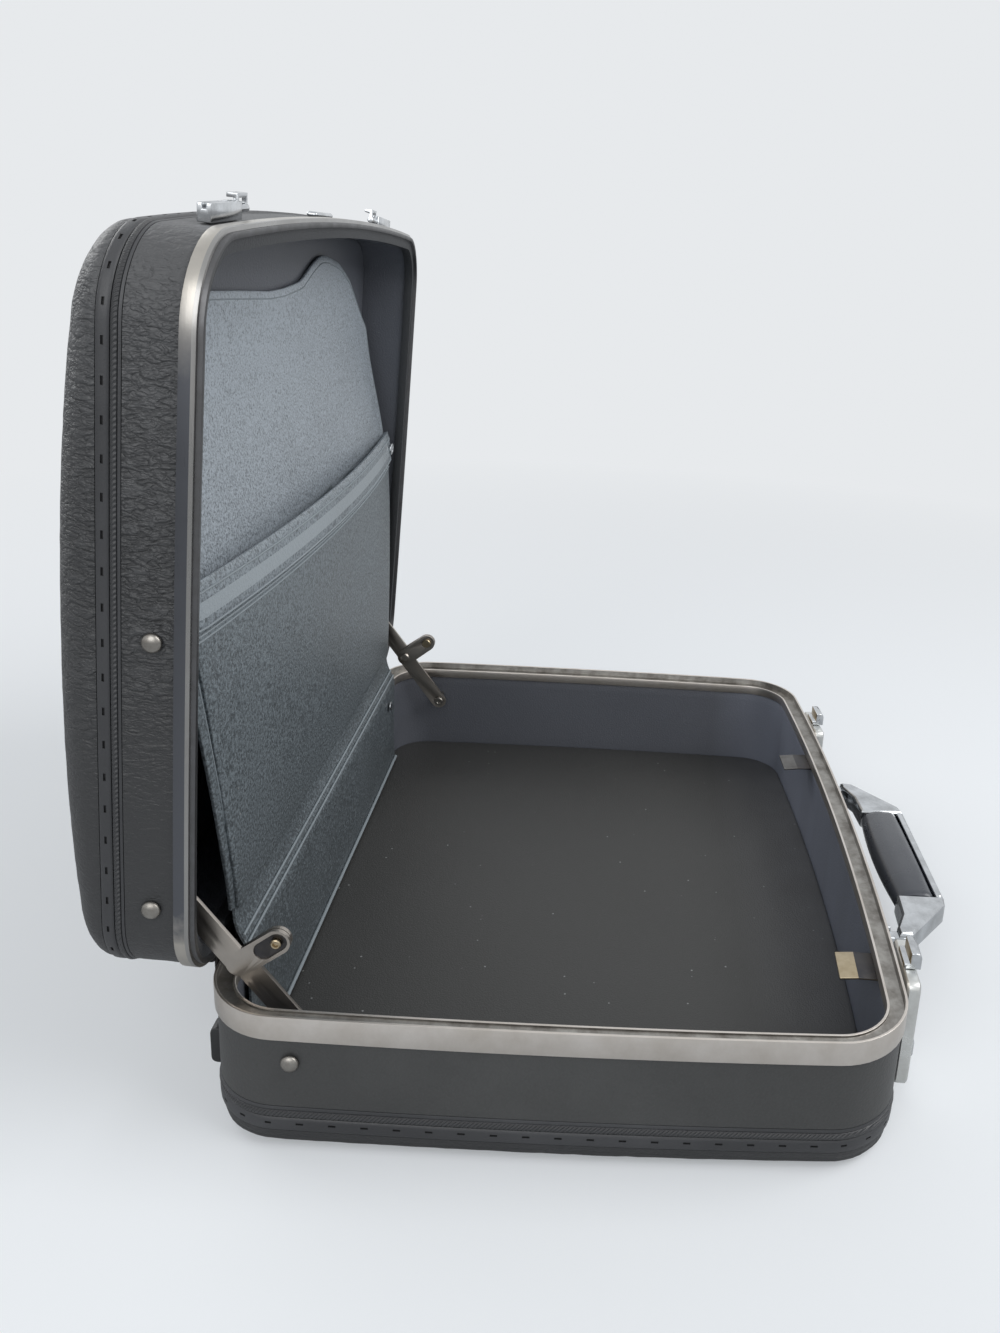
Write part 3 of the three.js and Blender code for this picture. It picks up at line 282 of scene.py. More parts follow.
def metal(name, color, roughness, brushed=None, stain_and_reflection=None, amount=0.4, patch=0.03, dark=None):
    """Worn metal: brushed in stripes of the given sizes, stained in patches, and darker between two heights if a dark
    tone is given. On chrome the darker patches are painted reflections, not stains.
    """
    made = Finish(name, color, roughness, metallic=1.0)
    patches = made.clouds(patch, detail=5, roughness=0.65)
    rough = roughness + (patches - 0.5) * 0.22
    if brushed:
        lines = made.clouds(1.0, detail=3, place=made.stretched(brushed))
        made.relief(lines, 0.00006, 0.5)
        rough = rough + (lines - 0.5) * 0.12
    made.set("Roughness", rough)
    stain_and_reflection_share = patches.over(0.52, 0.3) * amount
    tone = made.tint(stain_and_reflection_share, color, stain_and_reflection or tuple(value * 0.7 for value in color))
    if dark:
        level = made.height()
        begun = (level + (patches - 0.5) * 0.05).over(DARKER_FROM, DARKER_FROM_SOFT)
        ended = (level + (patches - 0.5) * 0.03).over(DARKER_TO, DARKER_TO_SOFT)
        tone = made.tint(begun * (1 - ended), tone, dark)
    made.set("Base Color", tone)
    return made


BASE_BRUSH = (0.05, 0.05, 0.0004)
LID_BRUSH = (0.05, 0.0004, 0.05)
frame_metal = metal("satin_aluminium", (0.70, 0.655, 0.61), 0.34, BASE_BRUSH, (0.40, 0.35, 0.29))
# The channel is partly tarnished and partly painted dark, a painted reflection of the dark lid.
channel_metal = metal("tarnished_channel_painted_reflection", (0.40, 0.385, 0.36), 0.4, BASE_BRUSH, (0.14, 0.125, 0.11), 0.8, 0.012)
# The lid's frame is the same aluminium as the base's; its darker, greyer tone is painted shade.
lid_frame_metal_shaded = metal("satin_aluminium_lid_shaded", (0.38, 0.375, 0.365), 0.3, LID_BRUSH, (0.26, 0.25, 0.24))
dull_band = metal("aluminium_darker_midway", (0.56, 0.53, 0.48), 0.32, LID_BRUSH, (0.30, 0.28, 0.26),
                  dark=(0.13, 0.135, 0.15))
stay_steel = metal("stay_steel", (0.42, 0.385, 0.35), 0.34, (0.03, 0.0005, 0.0005), (0.27, 0.25, 0.22))
# Chrome's darker patches are painted reflections of the dark case around it, not tarnish.
chrome = metal("chrome_plate", (0.66, 0.68, 0.70), 0.16, None, (0.30, 0.305, 0.31), 0.6, 0.014)
plate_metal = metal("satin_plate", (0.74, 0.75, 0.73), 0.3, None, (0.5, 0.49, 0.46), 0.5, 0.012)
dull_rivet = metal("worn_rivet", (0.33, 0.315, 0.29), 0.34, None, (0.22, 0.20, 0.18), 0.7, 0.004)
black_metal = metal("hinge_black", (0.022, 0.022, 0.024), 0.38, None, (0.05, 0.045, 0.04))
gilt = metal("gilt_brass", (0.50, 0.42, 0.29), 0.32, None, (0.34, 0.27, 0.17), 0.6, 0.006)
dim_steel = metal("dim_steel", (0.17, 0.165, 0.16), 0.4, None, (0.09, 0.085, 0.08), 0.6, 0.006)
dark_plate = metal("blackened_steel", (0.06, 0.06, 0.066), 0.45, None, (0.12, 0.11, 0.10), 0.5, 0.01)
tongue_metal = metal("tongue_metal", (0.15, 0.15, 0.155), 0.4, None, (0.09, 0.088, 0.085), 0.5, 0.01)
print("metals ready")

# %% [markdown]
# ## Linings and plastics
# Inside, the walls and the floor are lined with dull vinyl, bluish grey on the walls and nearly black on the floor,
# and pale dust has settled on it. Dust is a scatter of far apart points: cells whose centres are close enough show,
# and a cloud keeps most of them away. The folder is a bluer vinyl with a sandy grain.

# %% Lining and plastic finishes
SPECK_CELL = 0.009
SPECK_SHARE, SPECK_SOFT = 0.055, -0.03
SPECK = (0.30, 0.31, 0.31)
# Height about which the folder's painted light turns from darker to lighter, in metres.
FOLDER_LIGHT_MIDDLE = 0.19
# How far to the front the painted light and sheen begin, and how softly, in metres.
FRONT_LIGHT_FROM, FRONT_LIGHT_SOFT = 0.13, 0.05
# How dark and how pale the grain gets, as shares of the colour; on the folder the span also holds the painted light
# that grows with the height.
FOLDER_TONES = (0.62, 1.93)
PLAIN_TONES = (1, 1.55)


def lined(name, color, roughness, grain, specks, painted_light_rise=0.0, front=None):
    """Fine-grained vinyl with specks of dust. It can get a painted light that grows with the height, or a painted light
    and sheen towards the front.
    """
    made = Finish(name, color, roughness)
    sandy = made.clouds(grain, detail=2, roughness=0.7)
    broad = made.clouds(0.12, detail=3)
    made.relief(sandy, grain * 0.35, 0.7)
    pale = made.cells(SPECK_CELL).over(SPECK_SHARE, SPECK_SOFT) * made.clouds(0.03, detail=1).over(0.55, 0.1) * specks
    low, high = FOLDER_TONES if painted_light_rise else PLAIN_TONES
    mixed = broad * 0.6 + sandy * 0.4
    # Painted light and reflection: the folder gets lighter higher up and darker low down.
    if painted_light_rise:
        mixed = mixed + (sandy - 0.5) * 3.4 + (made.height() - FOLDER_LIGHT_MIDDLE) * 3.6 * painted_light_rise
    base = made.tint(mixed, tuple(value * low for value in color), tuple(value * high for value in color))
    # Painted light and sheen: lighter in vertical streaks towards the front.
    if front:
        sheen = made.clouds(1.0, detail=2, place=made.stretched((0.03, 0.03, 0.2)))
        base = made.tint((made.height(1) * -1).over(FRONT_LIGHT_FROM, FRONT_LIGHT_SOFT) * (sheen * 0.8 + 0.5), base, front)
    made.set("Base Color", made.tint(pale, base, SPECK))
    made.set("Roughness", roughness + (broad - 0.5) * 0.2)
    return made


# The front wall's inside faces away from the lamps; its paler front tone is painted light and sheen.
wall_lining = lined("wall_lining", (0.092, 0.098, 0.114), 0.42, 0.0012, 0.3, front=(0.24, 0.26, 0.32))
rim_lining = lined("rim_lining", (0.030, 0.032, 0.035), 0.5, 0.0012, 0.0)
# Towards the front the floor gets paler patches, a painted pool of light.
floor_lining = lined("floor_lining", (0.033, 0.033, 0.032), 0.46, 0.001, 1.9, front=(0.095, 0.096, 0.10))
# The folder's vinyls are painted lighter with the height, a painted reflection of the bright surround.
folder_vinyl = lined("folder_vinyl", (0.108, 0.126, 0.138), 0.4, 0.0016, 1.2, painted_light_rise=0.7)
# The back panel's board is the folder's vinyl painted paler, a painted reflection of the bright surround on its upper
# part.
folder_board = lined("folder_board_vinyl", (0.205, 0.23, 0.255), 0.4, 0.0013, 0.3, painted_light_rise=0.6)
folder_gloss = lined("folder_band_vinyl", (0.27, 0.305, 0.33), 0.3, 0.0016, 0.2)
folder_trim = lined("folder_trim_vinyl", (0.15, 0.172, 0.19), 0.4, 0.0016, 0.2, painted_light_rise=0.6)
stitch_thread = lined("stitch_thread", (0.22, 0.25, 0.27), 0.6, 0.0004, 0.0)
grip_gloss = Finish("grip_gloss", (0.045, 0.050, 0.062), 0.25)
scuffs = grip_gloss.clouds(0.02, detail=6, roughness=0.7)
grip_gloss.set("Roughness", 0.24 + scuffs.over(0.55, 0.2) * 0.2)
grip_gloss.set("Coat Weight", 0.5 - scuffs * 0.3)
grip_gloss.relief(grip_gloss.clouds(0.004, detail=2), 0.00005, 0.4)
foot_plastic = leather("foot_plastic", (0.014, 0.015, 0.016), 0.4, 0.0009, 0.0001, dust=0.6)
print("linings and plastics ready")

# %% [markdown]
# ## Floor and light
# A pale floor, a pale surround and large soft lamps, as in a plain studio. The surround is bright only to the eye and
# in reflections: what it sheds on the case is set lower, so that a colour comes out about as it is written.

# %% Floor, surround and lamps
SURROUND = (0.80, 0.82, 0.84, 1)
SHED = 0.42
FLOOR_GLOW = (0.27, 0.28, 0.29)
FLOOR_HALF = 12
FLOOR_DROP = 0.0003

floor_mesh = bmesh.new()
bmesh.ops.create_grid(floor_mesh, x_segments=1, y_segments=1, size=FLOOR_HALF)
bmesh.ops.translate(floor_mesh, vec=(0, 0, -FLOOR_DROP), verts=floor_mesh.verts)
floor_data = bpy.data.meshes.new("floor")
floor_mesh.to_mesh(floor_data)
floor_mesh.free()
floor = bpy.data.objects.new("floor", floor_data)
scene.collection.objects.link(floor)
floor_paint = Finish("floor_paint", (0.60, 0.62, 0.64), 0.85)
floor_rays = floor_paint.node("ShaderNodeLightPath", {}, {}, "Is Camera Ray")
floor_paint.set("Emission Color", floor_paint.tint(floor_rays, (0, 0, 0), FLOOR_GLOW))
floor_paint.set("Emission Strength", 1.0)
distance = floor_paint.vectors("LENGTH", {0: floor_paint.place}, "Value")
far_glow = floor_paint.node("ShaderNodeEmission", {}, {
    "Color": floor_paint.tint(floor_rays, tuple(value * SHED for value in SURROUND[:3]), SURROUND)})
blended = floor_paint.node("ShaderNodeMixShader", {}, {0: distance.over(1.0, 1.0), 2: far_glow})
floor_nodes = floor_paint.tree.nodes
floor_paint.tree.links.new(floor_paint.shader.outputs[0], floor_nodes["Mix Shader"].inputs[1])
floor_paint.tree.links.new(blended.socket, floor_nodes["Material Output"].inputs["Surface"])
floor_data.materials.append(floor_paint.material)

world = bpy.data.worlds.new("studio")
scene.world = world
world.use_nodes = True
tree = world.node_tree
tree.nodes.clear()


def sky_node(kind, *feeds, **settings):
    """Adds a node to the surround, and links or sets its inputs in their order."""
    made = tree.nodes.new("ShaderNode" + kind)
    for key, value in settings.items():
        setattr(made, key, value)
    for socket, value in zip(made.inputs, feeds):
        if isinstance(value, bpy.types.NodeSocket):
            tree.links.new(value, socket)
        else:
            socket.default_value = value
    return made.outputs


rays = sky_node("LightPath")
seen = sky_node("Math", rays["Is Camera Ray"], rays["Is Transmission Ray"], operation="MAXIMUM")[0]
bright = sky_node("Math", seen, rays["Is Glossy Ray"], operation="MAXIMUM")[0]
dim, pale = [sky_node("Background", SURROUND, strength)[0] for strength in (SHED, 1.0)]
sky_node("OutputWorld", sky_node("MixShader", bright, dim, pale)[0])


def softbox(name, place, aim, size, power):
    """Adds a rectangular lamp at a place, turned to what it lights."""
    lamp = bpy.data.lights.new(name, "AREA")
    lamp.shape = "RECTANGLE"
    lamp.size, lamp.size_y = size
    lamp.energy = power
    held = bpy.data.objects.new(name, lamp)
    scene.collection.objects.link(held)
    line = Vector(aim) - Vector(place)
    held.matrix_world = Matrix.Translation(place) @ line.to_track_quat("-Z", "Y").to_matrix().to_4x4()


softbox("high_front", (-0.3, -1.3, 1.5), (0, 0.1, 0.15), (1.6, 1.1), 20)
softbox("over_end", (-1.5, 0.4, 1.1), (0, 0, 0.1), (1.2, 1.2), 9)
softbox("behind", (0.9, 1.6, 1.3), (0, 0.1, 0.2), (1.4, 1.0), 10)
scene.view_settings.view_transform = "Standard"
print("lamps:", [light.name for light in bpy.data.lights])

# %% [markdown]
# ## The outline of the case
# Everything that rings the case follows one outline: a rounded rectangle whose front and ends bow outwards. Its
# pieces are bars of one section, bent round that outline. A curve with a bevel object could draw them, but its
# section would shear at the corners. Here the section is spun a quarter turn about each corner's centre and pushed
# straight along each side, which keeps it square to the path. The bow is put in afterwards.

# %% Sizes and the sweep round the outline
MM = 0.001
HALF_LENGTH = 220 * MM
HALF_WIDTH = 165 * MM
CORNER = 35 * MM
BASE_RIM = 74 * MM
LID_RIM = 74.4 * MM
END_BOW = 3.6 * MM
FRONT_BOW = 9.5 * MM
EDGE_MARGIN = 12 * MM
CORNER_STEPS = 12
SIDE_STEP = 5 * MM

hinge_line = Vector(joints["lid_hinge"]["pos_m"])
open_angle = math.radians(max(map(abs, joints["lid_hinge"]["range_deg"])))
lid_turn = Matrix.Translation(hinge_line) @ Matrix.Rotation(-open_angle, 4, "X") @ Matrix.Translation(-hinge_line)
corner_centres = [(1, 1), (-1, 1), (-1, -1), (1, -1)]
side_runs = [(-1, 0), (0, -1), (1, 0), (0, 1)]


def base_points(*pairs):
    """Section points of the base from insets and depths under its rim, in millimetres."""
    return [(inset * MM, BASE_RIM - depth * MM) for inset, depth in pairs]


def lid_points(*pairs):
    """Section points of the shut lid from insets and heights over its rim, in millimetres."""
    return [(inset * MM, LID_RIM + height * MM) for inset, height in pairs]


def new_vertices(result):
    return [part for part in result if isinstance(part, bmesh.types.BMVert)]


def chain_of(shape, points):
    """Adds points joined by edges in their order."""
    chain = [shape.verts.new(point) for point in points]
    for first, second in zip(chain, chain[1:]):
        shape.edges.new((first, second))
    return chain


def face_outwards(shape):
    bmesh.ops.recalc_face_normals(shape, faces=shape.faces)


def merge_close(shape, distance=0.01 * MM):
    bmesh.ops.remove_doubles(shape, verts=shape.verts, dist=distance)


def ring_of(points, closed=True, rounding=0.0, steps=2):
    """A mesh with the section bent round the outline. A closed section can have its corners rounded."""
    shape = bmesh.new()
    start = chain_of(shape, [(HALF_LENGTH - inset, HALF_WIDTH - CORNER, z) for inset, z in points])
    if closed:
        shape.faces.new(start)
        if rounding:
            bmesh.ops.bevel(shape, geom=start, offset=rounding, offset_type="OFFSET", segments=steps, profile=0.5,
                            affect="VERTICES", material=-1, clamp_overlap=True)
        bmesh.ops.delete(shape, geom=shape.faces[:], context="FACES_ONLY")
    section = shape.verts[:] + shape.edges[:]
    straight = [(HALF_LENGTH - CORNER) * 2, (HALF_WIDTH - CORNER) * 2]
    for quarter, ((along_x, along_y), (run_x, run_y)) in enumerate(zip(corner_centres, side_runs)):
        centre = (along_x * (HALF_LENGTH - CORNER), along_y * (HALF_WIDTH - CORNER), 0)
        turned = bmesh.ops.spin(shape, geom=section, cent=centre, axis=(0, 0, 1), dvec=(0, 0, 0),
                                angle=math.pi / 2, steps=CORNER_STEPS, use_merge=False)
        section = turned["geom_last"]
        length = straight[quarter % 2]
        count = round(length / SIDE_STEP)
        for _ in range(count):
            edges = [part for part in section if isinstance(part, bmesh.types.BMEdge)]
            pushed = bmesh.ops.extrude_edge_only(shape, edges=edges)["geom"]
            fresh = set(new_vertices(pushed))
            step = Vector((run_x, run_y, 0)) * (length / count)
            bmesh.ops.translate(shape, vec=step, verts=list(fresh))
            section = list(fresh) + [part for part in pushed if isinstance(part, bmesh.types.BMEdge)
                                     and part.verts[0] in fresh and part.verts[1] in fresh]
    merge_close(shape, 0.02 * MM)
    bmesh.ops.dissolve_degenerate(shape, edges=shape.edges, dist=0.02 * MM)
    face_outwards(shape)
    return shape


def paint(shape, index, chosen):
    """Gives another of the piece's finishes to the faces that are chosen by the face and its middle."""
    for face in shape.faces:
        if chosen(face, face.calc_center_median()):
            face.material_index = index


def outward(face, middle):
    """How much a face looks away from the case's middle line."""
    return face.normal.dot(Vector((middle.x, middle.y, 0)).normalized())


def inset_of(point):
    """How far inside the unbowed outline a point lies."""
    across = max(abs(point.x) - HALF_LENGTH + CORNER, 0)
    along = max(abs(point.y) - HALF_WIDTH + CORNER, 0)
    return CORNER - math.hypot(across, along)


def bow_out(shape):
    """Bows the front and the ends, as the case is."""
    for vertex in shape.verts:
        x, y, _ = vertex.co
        end_share = min(1, abs(x) / (HALF_LENGTH - EDGE_MARGIN)) * (1 - (y / HALF_WIDTH) ** 2)
        vertex.co.x += math.copysign(END_BOW * end_share, x)
        if y < 0:
            front_share = min(1, -y / (HALF_WIDTH - EDGE_MARGIN)) * (1 - (x / HALF_LENGTH) ** 2)
            vertex.co.y -= FRONT_BOW * front_share


def show(name, shape, finishes, body, slot, *replaced, crease=32, opened=False):
    """Makes the finished piece from its mesh, sets it on its body if it has one, and hides the parts that it replaces.
    """
    if opened:
        bmesh.ops.transform(shape, matrix=lid_turn, verts=shape.verts)
    data = bpy.data.meshes.new(name)
    shape.to_mesh(data)
    shape.free()
    data.shade_smooth()
    data.set_sharp_from_angle(angle=math.radians(crease))
    finishes = finishes if isinstance(finishes, (list, tuple)) else [finishes]
    for made in finishes:
        data.materials.append(made.material)
    piece = bpy.data.objects.new(name, data)
    scene.collection.objects.link(piece)
    if body:
        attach(piece, body)
    if replaced:
        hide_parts(*replaced)
    print(name, "faces:", len(data.polygons))
    return piece


print("outline helpers ready, lid opens", round(math.degrees(open_angle), 1), "degrees")

# %% [markdown]
# ## Shell walls
# Each wall is thin wood with covering drawn over it. The outer face is cut into low rows, so that the covering's
# folds can be real relief: every point moves along its normal by a noise of its place. A displacement modifier would
# do the same with a texture, but the noise in code is easier to keep away from the trims.

# %% Walls
# Length and depth of the covering's folds, in metres.
BASE_FOLDS = (0.02, 0.00012)
LID_FOLDS = (0.012, 0.00012)
COVER_FOLDS = (0.013, 0.00015)
UNDERSIDE_FOLDS = (0.012, 0.0002)


def rows(inset, start, end, count):
    return [(inset, start + (end - start) * step / count) for step in range(count + 1)]


def wrinkle(shape, chosen, size, depth):
    """Moves the chosen points along their normals by folds of the given size."""
    shape.normal_update()
    moves = []
    for vertex in chosen:
        fold = noise.ridged_multi_fractal(vertex.co / size, 1.0, 2.1, 3, 1.0, 1.6, noise_basis="PERLIN_NEW")
        moves.append((vertex, vertex.normal * (depth * (min(fold, 2.0) - 1.2))))
    for vertex, move in moves:
        vertex.co += move


base_wall = ring_of(base_points(*rows(1.3, 5.5, 49.2, 14), (3.0, 49.2), (3.0, 68.8), (4.5, 68.8), (4.5, 5.5)))
face_points = [v for v in base_wall.verts
               if BASE_RIM - 46 * MM < v.co.z < BASE_RIM - 14 * MM
               and abs(max(abs(v.co.x) - HALF_LENGTH, abs(v.co.y) - HALF_WIDTH)) < 9 * MM]
outer_points = [v for v in face_points if v.normal.dot(Vector((v.co.x, v.co.y, 0))) > 0]
wrinkle(base_wall, outer_points, *BASE_FOLDS)
bow_out(base_wall)
show("base_wall_shell", base_wall, wall_covering, "base", "leatherette", "base_wall", crease=40)

lid_wall = ring_of(lid_points(*rows(1.3, 1.3, 27.7, 12), (3.0, 27.7), (3.0, 37.2), (4.5, 37.2), (4.5, 1.3)))
lid_face = [v for v in lid_wall.verts if LID_RIM + 7 * MM < v.co.z < LID_RIM + 27 * MM
            and v.normal.dot(Vector((v.co.x, v.co.y, 0))) > 0]
wrinkle(lid_wall, lid_face, *LID_FOLDS)
bow_out(lid_wall)
show("lid_wall_shell", lid_wall, lid_covering, "lid", "leatherette", "lid_wall", crease=40, opened=True)

# %% [markdown]
# ## Welts and stitched bindings
# Where the wall meets the outer panel, a flat welt with a groove and a twisted cord along it covers the joint. Beside
# it runs a binding with a row of short slots where the stitches sink in. The slots could be painted, but they show at
# the outline, so each is an inset of one face of the binding's middle row, pushed inwards, with a dark floor.

# %% Welts and bindings
SLOT_EVERY = 3
SLOT_MARGIN = 0.75 * MM
SLOT_BEVEL = 0.12 * MM
SLOT_DEPTH = 0.8 * MM


def welt(points_of, start, height):
    """A flat lap, a dark groove, and a raised cord beside the binding."""
    cord = start + height * 0.62
    reach = height * 0.38
    section = points_of((2.7, start), (1.25, start), (1.05, start + 0.5), (1.0, cord - reach * 0.95),
                        (1.7, cord - reach * 0.8), (0.95, cord - reach * 0.62), (0.5, cord - reach * 0.2),
                        (0.45, cord + reach * 0.25), (0.75, cord + reach * 0.75), (1.4, start + height),
                        (2.7, start + height))
    shape = ring_of(section)
    ends = sorted((points_of((0, cord - reach * 0.7))[0][1], points_of((0, start + height - 0.3))[0][1]))
    paint(shape, 1, lambda face, middle: ends[0] < middle.z < ends[1] and inset_of(middle) < 1.6 * MM)
    return shape


def binding(points_of, start, height, seam):
    """A flat strip whose middle row has the slots."""
    low = start + seam - 1.3
    high = start + seam + 1.3
    section = points_of((2.7, start), (1.35, start), (0.8, start + 0.7), (0.7, low), (0.7, high),
                        (0.8, start + height - 0.8), (1.35, start + height), (2.7, start + height))
    shape = ring_of(section)
    middle = (points_of((0, low))[0][1] + points_of((0, high))[0][1]) / 2
    row = [face for face in shape.faces if abs(face.calc_center_median().z - middle) < 0.2 * MM
           and face.calc_area() > 0 and abs(face.normal.z) < 0.2
           and face.normal.dot(face.calc_center_median()) > 0]
    row.sort(key=lambda face: math.atan2(face.calc_center_median().y, face.calc_center_median().x))
    for first in row[::SLOT_EVERY]:
        for thickness, depth in ((SLOT_MARGIN, 0), (SLOT_BEVEL, -SLOT_DEPTH)):
            walls = bmesh.ops.inset_region(shape, faces=[first], thickness=thickness, depth=depth, use_boundary=True,
                                           use_even_offset=True)
        for face in walls["faces"] + [first]:
            face.material_index = 1
    print("slots:", len(row) // SLOT_EVERY)
    return shape


for name, points_of, opened, welt_place, binding_place in (("base", base_points, False, (49.5, 5.9), (55.7, 7.1, 2.9)),
                                                           ("lid", lid_points, True, (28.0, 4.2), (32.5, 5.2, 2.5))):
    for kind, made, second in (("welt", welt(points_of, *welt_place), cord_vinyl),
                               ("binding", binding(points_of, *binding_place), seam_shadow)):
        bow_out(made)
        show(f"{name}_{kind}_strip", made, [trim_vinyl, second], name, "piping", f"{name}_{kind}", opened=opened)

# %% [markdown]
# ## Outer panels
# The underside is flat with a rolled edge. The lid's cover is crowned and padded. Both start as a ring with an open
# section, which ends where the corners shrink to a point, so a plain grid of the same steps closes the middle. The
# grid then rises as the crown does.

# %% Outer panels
def grid_inside(shape, z):
    """Closes the middle with a grid whose edge points meet the ring's."""
    long_side = (HALF_LENGTH - CORNER) * 2
    short_side = (HALF_WIDTH - CORNER) * 2
    made = bmesh.ops.create_grid(shape, x_segments=round(long_side / SIDE_STEP),
                                 y_segments=round(short_side / SIDE_STEP), size=1)
    bmesh.ops.scale(shape, vec=(long_side / 2, short_side / 2, 1), verts=made["verts"])
    bmesh.ops.translate(shape, vec=(0, 0, z), verts=made["verts"])
    merge_close(shape, 0.1 * MM)


def close_holes(shape):
    """Fills the open rims, and turns the faces outwards."""
    rim = [edge for edge in shape.edges if edge.is_boundary]
    bmesh.ops.holes_fill(shape, edges=rim, sides=0)
    face_outwards(shape)


def crown_share(x, y, reach):
    """1 in the middle of the cover, and 0 at a reach from its edges."""
    across = min(1, abs(x) / (HALF_LENGTH - reach))
    along = min(1, abs(y) / (HALF_WIDTH - reach))
    return (1 - across ** 2.4) * (1 - along ** 2.4)


def rolled(points_of, lip, inside, roll, rise, steps):
    """The open section of a panel: its lip, its rolled edge, and the run in to the corner's centre."""
    points = [(2.7, inside), (2.7, lip), (2.1, lip), (1.6, lip + 0.1 * rise / abs(rise))]
    for step in range(1, steps + 1):
        angle = step / steps * math.pi / 2
        points.append((1.4 + roll * (1 - math.cos(angle)), lip + rise * math.sin(angle)))
    last = 1.4 + roll
    points += [(last + (35 - last) * step / 3, lip + rise) for step in range(1, 4)]
    return points_of(*points)


LID_LIP = 38.0
LID_RISE = 22.0
CORNER_DROP = 13 / 22
cover = ring_of(rolled(lid_points, LID_LIP, 37.5, 22, LID_RISE, 14), closed=False)
lip, crest = [lid_points((0, height))[0][1] for height in (LID_LIP, LID_LIP + LID_RISE)]
grid_inside(cover, crest)
close_holes(cover)
for vertex in cover.verts:
    x, y, z = vertex.co
    if z > lip:
        corner = min(1, abs(x * y) / (HALF_LENGTH * HALF_WIDTH)) ** 2.5
        top = 2 * MM * crown_share(x, y, 25 * MM) if z > crest - 0.4 * MM else 0
        vertex.co.z = lip + (z - lip) * (1 - CORNER_DROP * corner) + top
wrinkle(cover, [v for v in cover.verts if v.co.z > lip + 0.8 * MM], *COVER_FOLDS)
bow_out(cover)
lid_panel = show("lid_padded_cover", cover, lid_covering, "lid", "wrinkled_cover", "lid_cover", crease=60, opened=True)

underside = ring_of(rolled(base_points, 63.1, 69.1, 14.6, 10.9, 8), closed=False)
grid_inside(underside, 0)
close_holes(underside)
wrinkle(underside, [v for v in underside.verts if 0.6 * MM < v.co.z < 9.5 * MM], *UNDERSIDE_FOLDS)
bow_out(underside)
show("base_underside", underside, lid_covering, "base", "wrinkled_cover", "base_bottom_cover", crease=60)

# %% [markdown]
# ## Metal frames
# The rims are extruded aluminium: the base's frame is a channel with a bright inner lip, and the lid's has a tongue
# that closes into it. Their sections are drawn once with slightly rounded corners, which catch the light as the
# real, polished edges do.

# %% Frames
base_rim = ring_of(base_points((0, 0), (1.4, 0), (1.4, 4.2), (8.6, 4.2), (8.6, 3.0), (10, 3.0), (10, 9.5), (9, 9.5),
                               (9, 5.2), (1, 5.2), (1, 12.5), (0, 12.5)), rounding=0.3 * MM)


def in_channel(face, middle):
    """The channel's floor and its two sides."""
    inset = inset_of(middle)
    return BASE_RIM - 4.6 * MM < middle.z < BASE_RIM - 0.8 * MM and inset < 8.7 * MM and (
        abs(face.normal.z) > 0.9 and inset > 1.2 * MM or outward(face, middle) < -0.3 and inset < 2 * MM
        or outward(face, middle) > 0.3 and inset > 7 * MM)


paint(base_rim, 1, in_channel)
bow_out(base_rim)
show("base_frame_rim", base_rim, [frame_metal, channel_metal], "base", "satin_metal", "base_frame", crease=25)

lid_rim = ring_of(lid_points((0, 0), (1.9, 0), (1.9, -2), (4.3, -2), (4.3, 0), (10, 0), (10, 5.7), (9, 5.7), (9, 1),
                             (1, 1), (1, 6.5), (0, 6.5), (0, 1.9), (-0.01, 1.8)), rounding=0.25 * MM)
paint(lid_rim, 1, lambda face, middle: LID_RIM + 1.7 * MM < middle.z < LID_RIM + 6.6 * MM
      and outward(face, middle) > 0.3)
paint(lid_rim, 3, lambda face, middle: inset_of(middle) > 1.85 * MM)
paint(lid_rim, 2, lambda face, middle: inset_of(middle) > 4.4 * MM)
bow_out(lid_rim)
show("lid_frame_rim", lid_rim, [lid_frame_metal_shaded, dull_band, rim_lining, tongue_metal], "lid", "satin_metal",
     "lid_frame", crease=25, opened=True)

# %% [markdown]
# ## Linings
# The walls inside are lined boards with soft edges, and the floor is a lined panel laid in loose, so its surface
# waves a little and its edge turns down into a dark gap.

# %% Linings
LINING_WAVE = 0.28 * MM
WAVE_LENGTH = 0.07

for name, points_of, opened, start, end in (("base", base_points, False, 5.5, 68.8),
                                            ("lid", lid_points, True, 1.3, 37.2)):
    boards = ring_of(points_of((4.8, start), (7.6, start), (8.5, start + 1.2),
                               *[(8.5, start + 1.2 + (end - start - 2.4) * step / 6) for step in range(1, 6)],
                               (8.5, end - 1.2), (8.4, end), (4.8, end)))
    bow_out(boards)
    show(name + "_lining_boards", boards, wall_lining, name, "lining", name + "_lining_wall", opened=opened, crease=50)

for name, points_of, opened, far, finish, slot, replaced in (
        ("base", base_points, False, 68.8, floor_lining, "floor_lining", "base_floor_panel"),
        ("lid", lid_points, True, 37.2, wall_lining, "lining", "lid_lining_panel")):
    face = far - 1.1
    sheet = ring_of(points_of((8.8, far), (8.8, far - 0.8), (9.3, far - 1.05), (11, face), (18, face), (26, face),
                              (35, face)), closed=False)
    level_z = points_of((0, face))[0][1]
    grid_inside(sheet, level_z)
    close_holes(sheet)
    for vertex in sheet.verts:
        inner = max(abs(vertex.co.x) / (HALF_LENGTH - 11 * MM), abs(vertex.co.y) / (HALF_WIDTH - 11 * MM))
        if abs(vertex.co.z - level_z) < 0.1 * MM and inner < 0.99:
            vertex.co.z += LINING_WAVE * noise.noise(vertex.co / WAVE_LENGTH) * (-1 if opened else 1)
    bow_out(sheet)
    show(name + "_lining_sheet", sheet, finish, name, slot, replaced, opened=opened, crease=60)

# %% [markdown]
# ## Piano hinge
# Along the back runs a black piano hinge: two thin leaves whose knuckles take turns on one pin. A knuckle is a round
# tube, so each is a cylinder with its rim bevelled, set on its leaf's strip.

